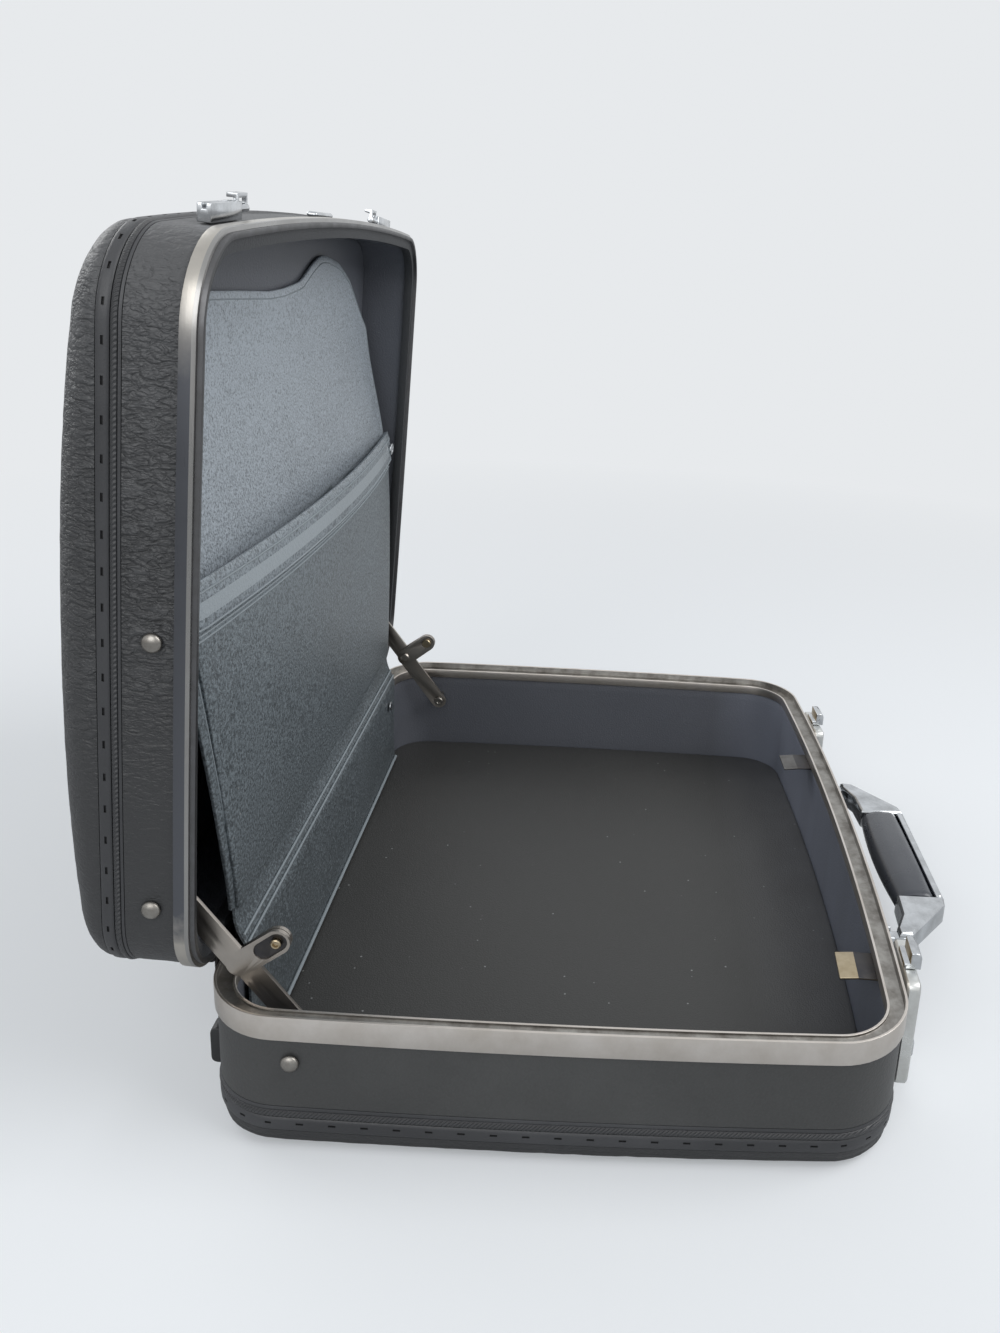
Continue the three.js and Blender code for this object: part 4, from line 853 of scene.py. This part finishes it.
# %% Hinge
KNUCKLES = 11
BARREL = 3.0 * MM
HINGE_HALF = 185 * MM
PITCH = 2 * HINGE_HALF / KNUCKLES
KNUCKLE_GAP = 0.15 * MM
LEAF_IN, LEAF_OUT = 165.3 * MM, 166.5 * MM
LEAF_TOP = 86.4 * MM
LEAF_LAP = 0.4 * MM


def soften(shape, width, segments=2, degrees=30):
    """Rounds the sharp edges, as every stamped or turned piece has them rounded."""
    shape.normal_update()
    sharp = [edge for edge in shape.edges if edge.calc_face_angle(0) > math.radians(degrees)]
    bmesh.ops.bevel(shape, geom=sharp, offset=width, offset_type="OFFSET", segments=segments, profile=0.5,
                    affect="EDGES", material=-1, clamp_overlap=True)


def block(shape, low, high):
    """Adds a box between two corners."""
    low, high = Vector(low), Vector(high)
    made = bmesh.ops.create_cube(shape, size=1)["verts"]
    bmesh.ops.scale(shape, vec=high - low, verts=made)
    bmesh.ops.translate(shape, vec=(low + high) / 2, verts=made)


def rod(shape, start, end, radius, sides=32):
    """Adds a cylinder from one point to another."""
    start, end = Vector(start), Vector(end)
    line = end - start
    place = Matrix.Translation((start + end) / 2) @ line.to_track_quat("Z", "Y").to_matrix().to_4x4()
    bmesh.ops.create_cone(shape, cap_ends=True, segments=sides, radius1=radius, radius2=radius, depth=line.length,
                          matrix=place)


for name, first, body in (("base_hinge_leaf", 0, "base"), ("lid_hinge_leaf", 1, "lid")):
    low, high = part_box(name)
    axis = hinge_line.z
    if body == "base":
        foot, bottom, top = axis - BARREL, low.z, axis - BARREL + LEAF_LAP
    else:
        foot, bottom, top = axis, axis + BARREL - LEAF_LAP, LEAF_TOP
    shape, leaf = bmesh.new(), bmesh.new()
    block(leaf, (-HINGE_HALF, LEAF_IN, bottom), (HINGE_HALF, LEAF_OUT, top))
    for place in range(first, KNUCKLES, 2):
        start = -HINGE_HALF + place * PITCH + KNUCKLE_GAP
        end = start + PITCH - 2 * KNUCKLE_GAP
        rod(shape, (start, *hinge_line.yz), (end, *hinge_line.yz), BARREL)
        block(leaf, (start, LEAF_IN, foot), (end, LEAF_OUT, foot + BARREL))
    soften(shape, 0.35 * MM)
    soften(leaf, 0.25 * MM)
    joined = bpy.data.meshes.new("joined")
    leaf.to_mesh(joined)
    leaf.free()
    shape.from_mesh(joined)
    show(name + "_strip", shape, black_metal, body, "black_metal", name, opened=body == "lid")

# %% [markdown]
# ## Rivets
# A rivet head is a body of revolution: its outline is drawn as a few points and spun a full turn. Heads outside are
# worn domes, and their shanks and collars hold the stays inside.

# %% Rivets
def spun(outline, centre, axis, steps):
    """A body of revolution: points in a plane through the axis, spun a full turn round it."""
    shape = bmesh.new()
    chain_of(shape, outline)
    bmesh.ops.spin(shape, geom=shape.verts[:] + shape.edges[:], cent=centre, axis=axis, dvec=(0, 0, 0),
                   angle=2 * math.pi, steps=steps, use_merge=True)
    merge_close(shape)
    return shape


def turned(outline, centre, side=1):
    """Spins an outline of radius and reach along X round a centre in Y and Z."""
    shape = spun([(reach, centre[0] + radius, centre[1]) for radius, reach in outline], (0, *centre), (1, 0, 0), 32)
    if side < 0:
        bmesh.ops.scale(shape, vec=(-1, 1, 1), verts=shape.verts)
    face_outwards(shape)
    return shape


def profile(start, *pairs):
    """Outline points from radii and distances past the start, in millimetres."""
    return [(radius * MM, start + reach * MM) for radius, reach in pairs]


def dome(radius, height, reach, steps=7):
    """A low dome with a small rolled foot."""
    foot = reach + 0.25 * MM
    angles = [step / steps * math.pi / 2 for step in range(1, steps + 1)]
    return [(radius * 0.97, reach), (radius, foot)] + [
        (max(radius * math.cos(angle), 0), foot + (height - 0.25 * MM) * math.sin(angle)) for angle in angles]


pivot_of = {key: Vector(joint["pos_m"]) for key, joint in joints.items() if "pos_m" in joint}
lid_back = lid_turn.inverted()
HEAD = 4.25 * MM
HEAD_RISE = 2.6 * MM
for side, sign in (("left", -1), ("right", 1)):
    for node, body, opened in ((f"base_stay_rivet_{side}", "base", False), (f"lid_stay_rivet_{side}", "lid", True),
                               (f"band_rivet_{side}", "lid", True)):
        low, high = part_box(node)
        outer = max(abs(low.x), abs(high.x))
        inner = min(abs(low.x), abs(high.x))
        if node.startswith("band"):
            centre = lid_back @ ((low + high) / 2)
            outline = profile(inner, (0, 0), (3.5, 0), (3.5, 1.4), (2, 1.4))
        else:
            centre = pivot_of[f"{body}_stay_pivot_{side}"]
            centre = lid_back @ centre if opened else centre
            outline = profile(inner, (0, 0.3), (1.2, 0.3), (1.5, 0), (3.1, 0), (3.5, 0.5), (3.5, 1.4), (2, 1.4),
                              (2, 4), (3.6, 4), (3.6, 5.5), (2, 5.5))
        neck = outer - HEAD_RISE
        rivet = turned([*outline, (2 * MM, neck), *dome(HEAD, HEAD_RISE, neck)], (centre.y, centre.z), sign)
        show(node + "_head", rivet, dull_rivet, body, "chrome", node, opened=opened, crease=38)

# %% [markdown]
# ## Stays
# A stay's arm is stamped from plate: a strip with round ends, and an ear square to it that carries the knee. The
# convex hull of two discs is such a strip, and two of them joined make the arm. The near side of the ear has a
# pressed recess with the hollow rivet in it, cut with the same kind of strip.

# %% Stay arms
def shown_mesh(holder):
    """An object's mesh with its modifier or bevel worked out."""
    bpy.context.view_layer.update()
    shown = holder.evaluated_get(bpy.context.evaluated_depsgraph_get())
    result = bmesh.new()
    result.from_mesh(shown.to_mesh())
    shown.to_mesh_clear()
    return result


def whole_faces(shape, degrees):
    """Merges neighbouring faces that lie in one plane within the angle."""
    bmesh.ops.dissolve_limit(shape, angle_limit=math.radians(degrees), verts=shape.verts, edges=shape.edges)
    return shape


def combined(shape, cutter, operation):
    """Joins or cuts two solids with a Boolean modifier, and gives the result as a mesh again."""
    holders = []
    for part in (shape, cutter):
        data = bpy.data.meshes.new("part")
        part.to_mesh(data)
        part.free()
        holder = bpy.data.objects.new("part", data)
        scene.collection.objects.link(holder)
        holders.append(holder)
    tool = holders[0].modifiers.new("tool", "BOOLEAN")
    tool.operation = operation
    tool.object = holders[1]
    tool.solver = "EXACT"
    result = shown_mesh(holders[0])
    for holder in holders:
        data = holder.data
        bpy.data.objects.remove(holder)
        bpy.data.meshes.remove(data)
    merge_close(result, 0.005 * MM)
    return whole_faces(result, 1)


def strip(start, end, radius, x_from, x_to):
    """A plate with round ends between two points in Y and Z."""
    shape = bmesh.new()
    for y, z in (start, end):
        rod(shape, (x_from, y, z), (x_to, y, z), radius, sides=40)
    hull = bmesh.ops.convex_hull(shape, input=shape.verts)
    bmesh.ops.delete(shape, geom=hull["geom_interior"], context="VERTS")
    loose = [face for face in shape.faces if abs(face.normal.x) > 0.9]
    bmesh.ops.dissolve_faces(shape, faces=loose, use_verts=False)
    face_outwards(shape)
    return whole_faces(shape, 1)


ARM_INNER = 197.5 * MM
ARM_SHEET = 2 * MM
ARM_GAP = 0.5 * MM
ARM_HALF = 5.75 * MM
EAR_HALF = 6.25 * MM
EAR_PROUD = 0.03 * MM
HOLE = 2.3 * MM
RECESS_DEPTH = ARM_SHEET - 1.3 * MM
RECESS_HALF = 4.5 * MM
RECESS_PAST_KNEE = 0.6 * MM
RECESS_LENGTH = 7.6 * MM

for side, sign in (("left", -1), ("right", 1)):
    base_pivot = pivot_of[f"base_stay_pivot_{side}"].yz
    lid_pivot = pivot_of[f"lid_stay_pivot_{side}"].yz
    knee = base_pivot + lid_pivot - hinge_line.yz
    line = (lid_pivot - base_pivot).normalized()
    elbow = base_pivot + line * (knee - base_pivot).dot(line)
    across = (knee - elbow).normalized()
    for arm, pivot, inner in (("base", base_pivot, ARM_INNER), ("lid", lid_pivot, ARM_INNER + ARM_SHEET + ARM_GAP)):
        faces_x = (sign * inner, sign * (inner + ARM_SHEET))
        shift = (elbow - pivot).normalized() * (ARM_HALF - EAR_HALF)
        ear_x = (sign * (inner - EAR_PROUD), sign * (inner + ARM_SHEET + EAR_PROUD))
        plate = combined(strip(pivot, elbow, ARM_HALF, *faces_x),
                         strip(elbow + shift, knee, EAR_HALF, *ear_x), "UNION")
        for hole in (pivot, knee):
            cutter = bmesh.new()
            rod(cutter, (sign * (inner - ARM_SHEET), *hole), (sign * (inner + 2 * ARM_SHEET), *hole), HOLE)
            plate = combined(plate, cutter, "DIFFERENCE")
        sunk = sign * (inner + ARM_SHEET - RECESS_DEPTH)
        if arm == "lid":
            recess = strip(knee + across * RECESS_PAST_KNEE, knee - across * RECESS_LENGTH, RECESS_HALF, sunk,
                           sign * (inner + 2 * ARM_SHEET))
            plate = combined(plate, recess, "DIFFERENCE")
        soften(plate, 0.3 * MM, degrees=60)
        paint(plate, 1, lambda face, middle: arm == "lid" and abs(middle.x - sunk) < 0.05 * MM)
        show(f"{arm}_stay_plate_{side}", plate, [stay_steel, dark_plate], f"{arm}_stay_{side}", "steel",
             f"{arm}_stay_arm_{side}", crease=35)

    low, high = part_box(f"knee_rivet_{side}")
    inner, outer = sorted((abs(low.x), abs(high.x)))
    knee_rivet = turned(profile(inner, (0, 0), (3.1, 0), (3.5, 0.5), (3.5, 1.4), (2, 1.4))
                        + profile(outer, (2, -1.4), (2.4, -1.35), (2.4, -0.5), (1.9, -0.05), (1.4, -0.2),
                                  (1.05, -1.2), (0, -1.25)), tuple(knee), sign)
    show(f"knee_hollow_rivet_{side}", knee_rivet, gilt, f"lid_stay_{side}", "brass", f"knee_rivet_{side}", crease=38)
    low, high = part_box(f"elbow_rivet_{side}")
    inner, outer = sorted((abs(low.x), abs(high.x)))
    elbow_rivet = turned(profile(inner, (0, 0), (2.6, 0), (3.5, 0.9), (3.5, 1.4), (2, 1.4))
                         + profile(outer, (2, 0), (0, 0)), tuple(elbow), sign)
    show(f"elbow_rivet_head_{side}", elbow_rivet, stay_steel, f"base_stay_{side}", "steel", f"elbow_rivet_{side}",
         crease=38)

# %% [markdown]
# ## Latches, hasps and the handle's metal
# These are cast and stamped pieces whose solids already have the right form. Each is taken from the model with its
# loose triangles merged into whole faces, and its edges are rounded. Modelling them again would only risk the fit.
# A few faces then get another finish: the latch cap's back gets gilt brass, partly its own gilt and partly a painted
# shade and reflection, and a keeper's tab is dark but for its tip.

# %% Copies with rounded edges
def copied(node):
    shape = bmesh.new()
    shape.from_mesh(frame["nodes"][node].data)
    merge_close(shape, 0.02 * MM)
    return whole_faces(shape, 2)


def rounded(node, width, degrees, segments=2):
    """A copy whose edges sharper than the angle are rounded by a width in millimetres."""
    shape = copied(node)
    soften(shape, width * MM, degrees=degrees, segments=segments)
    return shape


def in_body(node):
    return next(body for body, members in frame["record"]["behaviour"]["bodies"].items() if node in members)


def show_bright(node, width, segments=3):
    shape = rounded(node, width, 24, segments)
    show(node + "_bright", shape, chrome, in_body(node), "chrome", node, crease=30)


GROOVE_SHARE = 0.58
GROOVE_WIDTH = 0.9 * MM
GROOVE_DEPTH = 2.4 * MM
TAB_TIP = 10.5 * MM

for side in ("left", "right"):
    plate = copied(f"latch_plate_{side}")
    low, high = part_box(f"latch_plate_{side}")
    groove = bmesh.new()
    middle_z = low.z + (high.z - low.z) * GROOVE_SHARE
    block(groove, (low.x - 5 * MM, low.y - 2 * MM, middle_z), (high.x + 5 * MM, low.y + GROOVE_DEPTH,
                                                               middle_z + GROOVE_WIDTH))
    plate = combined(plate, groove, "DIFFERENCE")
    soften(plate, 0.45 * MM, degrees=35)
    show(f"latch_face_{side}", plate, plate_metal, "base", "chrome", f"latch_plate_{side}", crease=35)

    cap = rounded(f"latch_cap_{side}", 0.5, 35)
    # The cap's back face gets gilt brass: partly its own gilt, partly a painted brown shade and reflection.
    paint(cap, 1, lambda face, middle: face.normal.y > 0.6)
    show(f"latch_cap_{side}_bright", cap, [chrome, gilt], "base", "chrome", f"latch_cap_{side}", crease=35)

    tab = rounded(f"latch_inner_tab_{side}", 0.3, 50)
    low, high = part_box(f"latch_inner_tab_{side}")
    paint(tab, 1, lambda face, middle: middle.y < high.y - TAB_TIP)
    show(f"keeper_tab_{side}", tab, [gilt if side == "left" else dim_steel, dark_plate], "base", "brass",
         f"latch_inner_tab_{side}", crease=35)

    for kind, width in (("latch_button", 0.5), ("hasp_bar", 0.4), ("hasp_hook", 0.35), ("handle_bracket", 0.5),
                        ("handle_end", 0.8)):
        show_bright(f"{kind}_{side}", width)
    foot = rounded(f"base_back_foot_{side}", 0.8, 50, 3)
    show(f"back_foot_{side}", foot, foot_plastic, "base", "black_plastic", f"base_back_foot_{side}", crease=40)

show_bright("lid_centre_catch", 0.4, 4)
show_bright("handle_spine", 1.4, 4)

# %% [markdown]
# ## Grip
# The grip is a moulded, glossy oval bar that is thicker in the middle, on the side of the fingers. It is one ring of
# points, pushed along the handle step by step, and each step's ring is scaled to the oval of that place.

# %% Grip
GRIP_HALF = 52 * MM
GRIP_INNER = 197 * MM
GRIP_OUTER = 221 * MM
GRIP_RISE = 40 * MM
GRIP_HEIGHT = 18 * MM
GRIP_SWELL = 3 * MM
GRIP_STEPS = 32
GRIP_SHOULDER = 0.97
GRIP_ROUNDING = 0.8 * MM


def grip_oval(share):
    """The middle in Y, and the half sizes in Y and Z, at a share of the length from -1 to 1."""
    reach = (GRIP_OUTER - GRIP_INNER + GRIP_SWELL * (1 - share ** 2)) / 2
    cut = max(abs(share) - GRIP_SHOULDER, 0) / (1 - GRIP_SHOULDER) * GRIP_ROUNDING
    return reach - GRIP_OUTER, reach - cut, GRIP_HEIGHT / 2 - GRIP_SWELL / 2 * share ** 2 - cut


grip = bmesh.new()
straight = [GRIP_SHOULDER * (2 * step / GRIP_STEPS - 1) for step in range(GRIP_STEPS + 1)]
stations = [-1, -0.985] + straight + [0.985, 1]
ring = bmesh.ops.create_circle(grip, cap_ends=False, radius=1, segments=40)["verts"]
bmesh.ops.rotate(grip, cent=(0, 0, 0), matrix=Matrix.Rotation(math.pi / 2, 3, "Y"), verts=ring)
for vertex in ring:
    if vertex.co.y < 0:
        vertex.co.y = -abs(vertex.co.y) ** 0.4
        vertex.co.z = math.copysign(abs(vertex.co.z) ** 0.75, vertex.co.z)
middle, half_y, half_z = grip_oval(stations[0])
bmesh.ops.scale(grip, vec=(1, half_y, half_z), verts=ring)
bmesh.ops.translate(grip, vec=(stations[0] * GRIP_HALF, middle, GRIP_RISE), verts=ring)
for before, here in zip(stations, stations[1:]):
    old_middle, old_y, old_z = grip_oval(before)
    middle, half_y, half_z = grip_oval(here)
    rim = [edge for edge in grip.edges if all(vertex in ring for vertex in edge.verts)]
    ring = new_vertices(bmesh.ops.extrude_edge_only(grip, edges=rim)["geom"])
    bmesh.ops.translate(grip, vec=(0, -old_middle, -GRIP_RISE), verts=ring)
    bmesh.ops.scale(grip, vec=(1, half_y / old_y, half_z / old_z), verts=ring)
    bmesh.ops.translate(grip, vec=((here - before) * GRIP_HALF, middle, GRIP_RISE), verts=ring)
close_holes(grip)
show("handle_oval_grip", grip, grip_gloss, "handle", "black_gloss", "handle_grip", crease=50)
frame["nodes"]["hinge_pin"].data.materials[0] = stay_steel.material

# %% [markdown]
# ## Document folder
# In the lid stands a document folder: a stiff, vinyl-covered back panel with a waved top, and a pocket in front of
# it that a glossy band closes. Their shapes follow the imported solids, but are read smoothly from the same tables of
# shares, and the surfaces are rounded towards their edges. Cloth simulation would not help here, because the sheets
# are stiff and held on three sides. Each is a grid whose points are placed on the surface, then thickened.

# %% Folder shapes
FOLDER_HALF = 205 * MM
FOLDER_FOOT = 18 * MM
FOLDER_REACH = 315 * MM
FOLDER_DEPTH = 35 * MM
POCKET_TOP = 165 * MM
POCKET_SWELL = 10 * MM
POCKET_INSET = 3 * MM
POCKET_SHEET = 1.6 * MM
BAND_HEIGHT = 22 * MM
BAND_SHEET = 3 * MM
BAND_PUFF = 1.4 * MM
PANEL_SHEET = 2 * MM
FIT = 0.3 * MM
depth_shares = [(0.057, -0.17), (0.254, -0.03), (0.444, 0.14), (0.59, 0.34), (0.714, 0.63), (0.81, 0.84),
                (0.92, 0.92), (1, 0.93)]
top_shares = [(0, 0.946), (0.18, 0.955), (0.3, 0.985), (0.38, 1), (0.46, 1), (0.615, 0.984), (0.76, 0.949),
              (0.854, 0.905), (0.985, 0.841), (1, 0.82)]
near_top_shares = [(0, 0.946), (0.12, 0.945), (0.35, 0.952), (0.6, 0.958), (0.76, 0.945), (0.854, 0.905),
                   (0.985, 0.841), (1, 0.82)]
width_shares = [(0.05, 0.86), (0.3, 0.93), (0.55, 1), (1, 1)]


def read(table, at, spread=0.03):
    """A table read at a place, smoothed over a short spread."""
    total = 0
    for step in range(-3, 4):
        spot = min(max(at + spread * step / 3, table[0][0]), table[-1][0])
        after = next(index for index, (key, _) in enumerate(table) if key >= spot)
        (k0, v0), (k1, v1) = table[max(after - 1, 0)], table[after]
        total += v1 if k1 == k0 else v0 + (v1 - v0) * (spot - k0) / (k1 - k0)
    return total / 7


def folder_depth(setback):
    return FOLDER_DEPTH * read(depth_shares, setback / FOLDER_REACH, 0.06)


def folder_edge(setback):
    return FOLDER_HALF * read(width_shares, setback / FOLDER_REACH, 0.06)


def in_lid(x, setback, depth):
    """A place in the shut lid from its setback from the hinge's side and its depth past the rim."""
    return Vector((x, HALF_WIDTH - setback, LID_RIM + depth))


def rolled_edge(distance, reach=7 * MM, drop=1.1 * MM):
    """How far a sheet's face falls back close to its edge."""
    return drop * (1 - min(distance / reach, 1)) ** 2


def panel_place(u, v):
    """The back panel's face, from its foot at v = 0 up to its waved top."""
    middle = FOLDER_FOOT + (FOLDER_REACH - FOLDER_FOOT) * v
    x = u * folder_edge(middle)
    top = FOLDER_REACH * read(near_top_shares if x < 0 else top_shares, abs(x) / FOLDER_HALF, 0.025)
    setback = FOLDER_FOOT + (top - FOLDER_FOOT) * v
    side_gap = (1 - abs(u)) * FOLDER_HALF
    back = rolled_edge(min(side_gap, top - setback))
    return in_lid(x, setback, folder_depth(setback) + back)


def pocket_face(u, setback, sheet):
    """How deep in the lid the pocket's front lies, which swells towards its top and middle."""
    along = min((setback - FOLDER_FOOT) / (POCKET_TOP - FOLDER_FOOT), 1)
    return folder_depth(setback) - sheet - FIT - POCKET_SWELL * (1 - u ** 2) * along ** 2


def pocket_place(u, v, lift=0.0):
    setback = FOLDER_FOOT + (POCKET_TOP - FOLDER_FOOT) * v
    x = u * (folder_edge(setback) - POCKET_INSET)
    back = rolled_edge((1 - abs(u)) * FOLDER_HALF, 5 * MM, 0.6 * MM)
    return in_lid(x, setback, pocket_face(u, setback, POCKET_SHEET) + back - lift)


def band_place(u, v, lift=0.0):
    setback = POCKET_TOP + FIT + BAND_HEIGHT * v
    x = u * (folder_edge(setback) - POCKET_INSET)
    puff = BAND_PUFF * (1 - (2 * v - 1) ** 4) * min(1, (1 - abs(u)) * 40)
    return in_lid(x, setback, pocket_face(u, setback, BAND_SHEET) - puff - lift)


def crowded(share, power=0.72):
    """Moves the grid lines towards the edges, where the sheet is rounded."""
    return math.copysign(abs(share) ** power, share)


def thickened(shape, thickness, axis):
    """Turns a sheet's faces against an axis, and gives the sheet its thickness behind them."""
    face_outwards(shape)
    if sum(face.normal[axis] for face in shape.faces) > 0:
        bmesh.ops.reverse_faces(shape, faces=shape.faces)
    bmesh.ops.solidify(shape, geom=shape.faces[:], thickness=thickness)
    face_outwards(shape)


def laid_sheet(place, columns, rows_up, thickness):
    """A grid from -1 to 1 laid on a surface, and thickened behind it."""
    shape = bmesh.new()
    bmesh.ops.create_grid(shape, x_segments=columns, y_segments=rows_up, size=1)
    for vertex in shape.verts:
        u, v = vertex.co.x, (crowded(vertex.co.y) + 1) / 2
        vertex.co = place(crowded(u), v)
    thickened(shape, thickness, 2)
    soften(shape, 0.45 * MM, degrees=60)
    return shape


panel = laid_sheet(panel_place, 72, 64, PANEL_SHEET)
# Above the pocket the panel gets the paler board tone, a painted reflection; behind the pocket it gets the pocket's
# vinyl.
paint(panel, 1, lambda face, middle: middle.y > HALF_WIDTH - POCKET_TOP - BAND_HEIGHT / 2)
show("folder_panel", panel, [folder_board, folder_vinyl], "lid", "folder_vinyl", "folder_back_panel", opened=True,
     crease=50)
pocket = laid_sheet(pocket_place, 64, 40, POCKET_SHEET)
show("folder_pocket", pocket, folder_vinyl, "lid", "folder_vinyl", "folder_front_pocket", opened=True, crease=50)
band = laid_sheet(band_place, 64, 14, BAND_SHEET)
paint(band, 1, lambda face, middle: 0.28 < (HALF_WIDTH - middle.y - POCKET_TOP) / BAND_HEIGHT < 0.66)
show("folder_closing_band", band, [folder_trim, folder_gloss], "lid", "folder_vinyl", "folder_band", opened=True,
     crease=50)

# %% [markdown]
# ## Welted edges of the folder
# The vinyl is folded over a cord and sewn along every edge, which leaves thin bright ridges: one inside the panel's
# edge, two on the band and two under it, and further down two at the foot and one along the floor. A curve with a
# round bevel along the same surface makes each ridge, and it is turned into a mesh like the rest.

# %% Ridges and snaps
def ridge(name, lines, radius, finish_of, body, opened):
    """Thin round ridges along lines of points, as one piece."""
    curve = bpy.data.curves.new(name, "CURVE")
    curve.dimensions = "3D"
    curve.bevel_depth = radius
    curve.bevel_resolution = 2
    curve.use_fill_caps = True
    for line in lines:
        spline = curve.splines.new("POLY")
        spline.points.add(len(line) - 1)
        for point, place in zip(spline.points, line):
            point.co = (*place, 1)
    holder = bpy.data.objects.new(name, curve)
    scene.collection.objects.link(holder)
    shape = shown_mesh(holder)
    bpy.data.objects.remove(holder)
    bpy.data.curves.remove(curve)
    merge_close(shape)
    face_outwards(shape)
    return show(name, shape, finish_of, body, "folder_vinyl", opened=opened, crease=60)


def shares(count, start=-1.0, end=1.0):
    return [start + (end - start) * step / count for step in range(count + 1)]


# Places on the sheets as shares of their width and height, and the ridges' radii.
INSIDE = 0.974
EDGE_FOOT, EDGE_TOP = 0.05, 0.986
BAND_WELTS = (0.09, 0.80)
POCKET_WELTS = (0.975, 0.990)
STITCH_RADIUS = 0.35 * MM
WELT_RADIUS = 0.55 * MM
WELT_LIFT = 0.1 * MM
edge_line = [panel_place(-INSIDE, v) for v in shares(40, EDGE_FOOT, EDGE_TOP)]
edge_line += [panel_place(u, EDGE_TOP) for u in shares(90, -INSIDE + 0.01, INSIDE - 0.01)]
edge_line += [panel_place(INSIDE, v) for v in shares(40, EDGE_TOP, EDGE_FOOT)]
ridge("folder_edge_stitching", [edge_line], STITCH_RADIUS, stitch_thread, "lid", True)
band_lines = [[band_place(u, v, WELT_LIFT) for u in shares(60, -0.995, 0.995)] for v in BAND_WELTS]
pocket_lines = [[pocket_place(u, v, WELT_LIFT) for u in shares(60, -0.99, 0.99)] for v in POCKET_WELTS]
ridge("folder_band_welts", band_lines + pocket_lines, WELT_RADIUS, stitch_thread, "lid", True)


def snap_head(radius, height):
    """A press stud's cap: a low dome with a sunken middle, standing on the XY plane."""
    outline = [(0, height * 0.55), (radius * 0.35, height * 0.6), (radius * 0.5, height * 0.95), (radius * 0.7, height),
               (radius * 0.93, height * 0.8), (radius, height * 0.3), (radius * 0.96, 0), (0, 0)]
    shape = spun([(across, 0, rise) for across, rise in outline], (0, 0, 0), (0, 0, 1), 28)
    face_outwards(shape)
    return shape


snap = snap_head(4.6 * MM, 1.8 * MM)
low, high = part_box("folder_snap")
spot = lid_back @ ((low + high) / 2)
bmesh.ops.rotate(snap, cent=(0, 0, 0), matrix=Matrix.Rotation(math.pi, 3, "X"), verts=snap.verts)
bmesh.ops.translate(snap, vec=(spot.x, spot.y, spot.z + 0.6 * MM), verts=snap.verts)
show("folder_press_stud", snap, chrome, "lid", "chrome", "folder_snap", opened=True, crease=40)

# %% [markdown]
# ## Fold between the folder and the base
# The folder's foot is one soft strip of the same vinyl that hangs from the lid's side of the hinge down to the floor
# of the base. On the real case it bends each time the lid moves; here it is a single sheet shaped for the open lid,
# whose points follow the lid above, the base below, and turn in between.

# %% Gusset
foot_point = lid_turn @ in_lid(0, FOLDER_FOOT + 1 * MM, folder_depth(FOLDER_FOOT) + 0.2 * MM)
low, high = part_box("base_gusset")
GUSSET_Y = (low.y + high.y) / 2
GUSSET_FOOT = low.z + 0.2 * MM
GUSSET_HALF = high.x
FOLD_BOTTOM = 75 * MM
BEND_SHARE = 0.28
FOLD_SHEET = 1.2 * MM
FOLD_WAVE = 0.5 * MM
FOLD_TAPER = 0.6 * MM
FOOT_WELTS, FOOT_WELT_RADIUS = (0.84, 0.78), 0.7 * MM
FLOOR_WELT, FLOOR_WELT_RADIUS = 0.03, 1.1 * MM
STUD_SIDE, STUD_PROUD, STUD_HEIGHT = 153 * MM, 0.9 * MM, 62 * MM
bend_points = [Vector(foot_point.yz), Vector((foot_point.y + 0.6 * MM, 86 * MM)),
               Vector((GUSSET_Y + 2.4 * MM, 81.5 * MM)), Vector((GUSSET_Y, FOLD_BOTTOM))]


def gusset_place(u, v):
    """From the folder's foot at v = 1 straight down, round the bend, and down to the floor at v = 0."""
    if v > 1 - BEND_SHARE:
        share = (1 - v) / BEND_SHARE
        chain = bend_points
        while len(chain) > 1:
            chain = [first.lerp(second, share) for first, second in zip(chain, chain[1:])]
        y, z = chain[0]
    else:
        fall = 1 - v / (1 - BEND_SHARE)
        y = GUSSET_Y + FOLD_WAVE * math.sin(fall * math.pi) * math.cos(u * 7)
        z = FOLD_BOTTOM + (GUSSET_FOOT - FOLD_BOTTOM) * fall
    return Vector((u * (GUSSET_HALF - FOLD_TAPER * (1 - v)), y, z))


gusset = bmesh.new()
bmesh.ops.create_grid(gusset, x_segments=60, y_segments=44, size=1)
for vertex in gusset.verts:
    vertex.co = gusset_place(vertex.co.x, (vertex.co.y + 1) / 2)
area = sum(face.calc_area() for face in gusset.faces)
thickened(gusset, FOLD_SHEET, 1)
strip_piece = show("folder_fold_strip", gusset, folder_vinyl, None, "folder_vinyl", "base_gusset", crease=50)
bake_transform(strip_piece)


def fold_line(v, radius):
    """A line across the fold that a ridge of the radius lies on."""
    return [gusset_place(u, v) - Vector((0, radius, 0)) for u in shares(60, -0.995, 0.995)]


fold_lines = [fold_line(v, FOOT_WELT_RADIUS) for v in FOOT_WELTS]
fold_welts = ridge("folder_foot_welts", fold_lines, FOOT_WELT_RADIUS, stitch_thread, None, False)
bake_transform(fold_welts)
width = 2 * GUSSET_HALF
area / width
ridge("fold_strip_welt", [fold_line(FLOOR_WELT, FLOOR_WELT_RADIUS)], FLOOR_WELT_RADIUS, stitch_thread, "base",
      False)
stud = snap_head(3.6 * MM, 1.4 * MM)
bmesh.ops.rotate(stud, cent=(0, 0, 0), matrix=Matrix.Rotation(math.pi / 2, 3, "X"), verts=stud.verts)
bmesh.ops.translate(stud, vec=(STUD_SIDE, GUSSET_Y - STUD_PROUD, STUD_HEIGHT), verts=stud.verts)
show("fold_strip_stud", stud, chrome, "base", "chrome", crease=40)
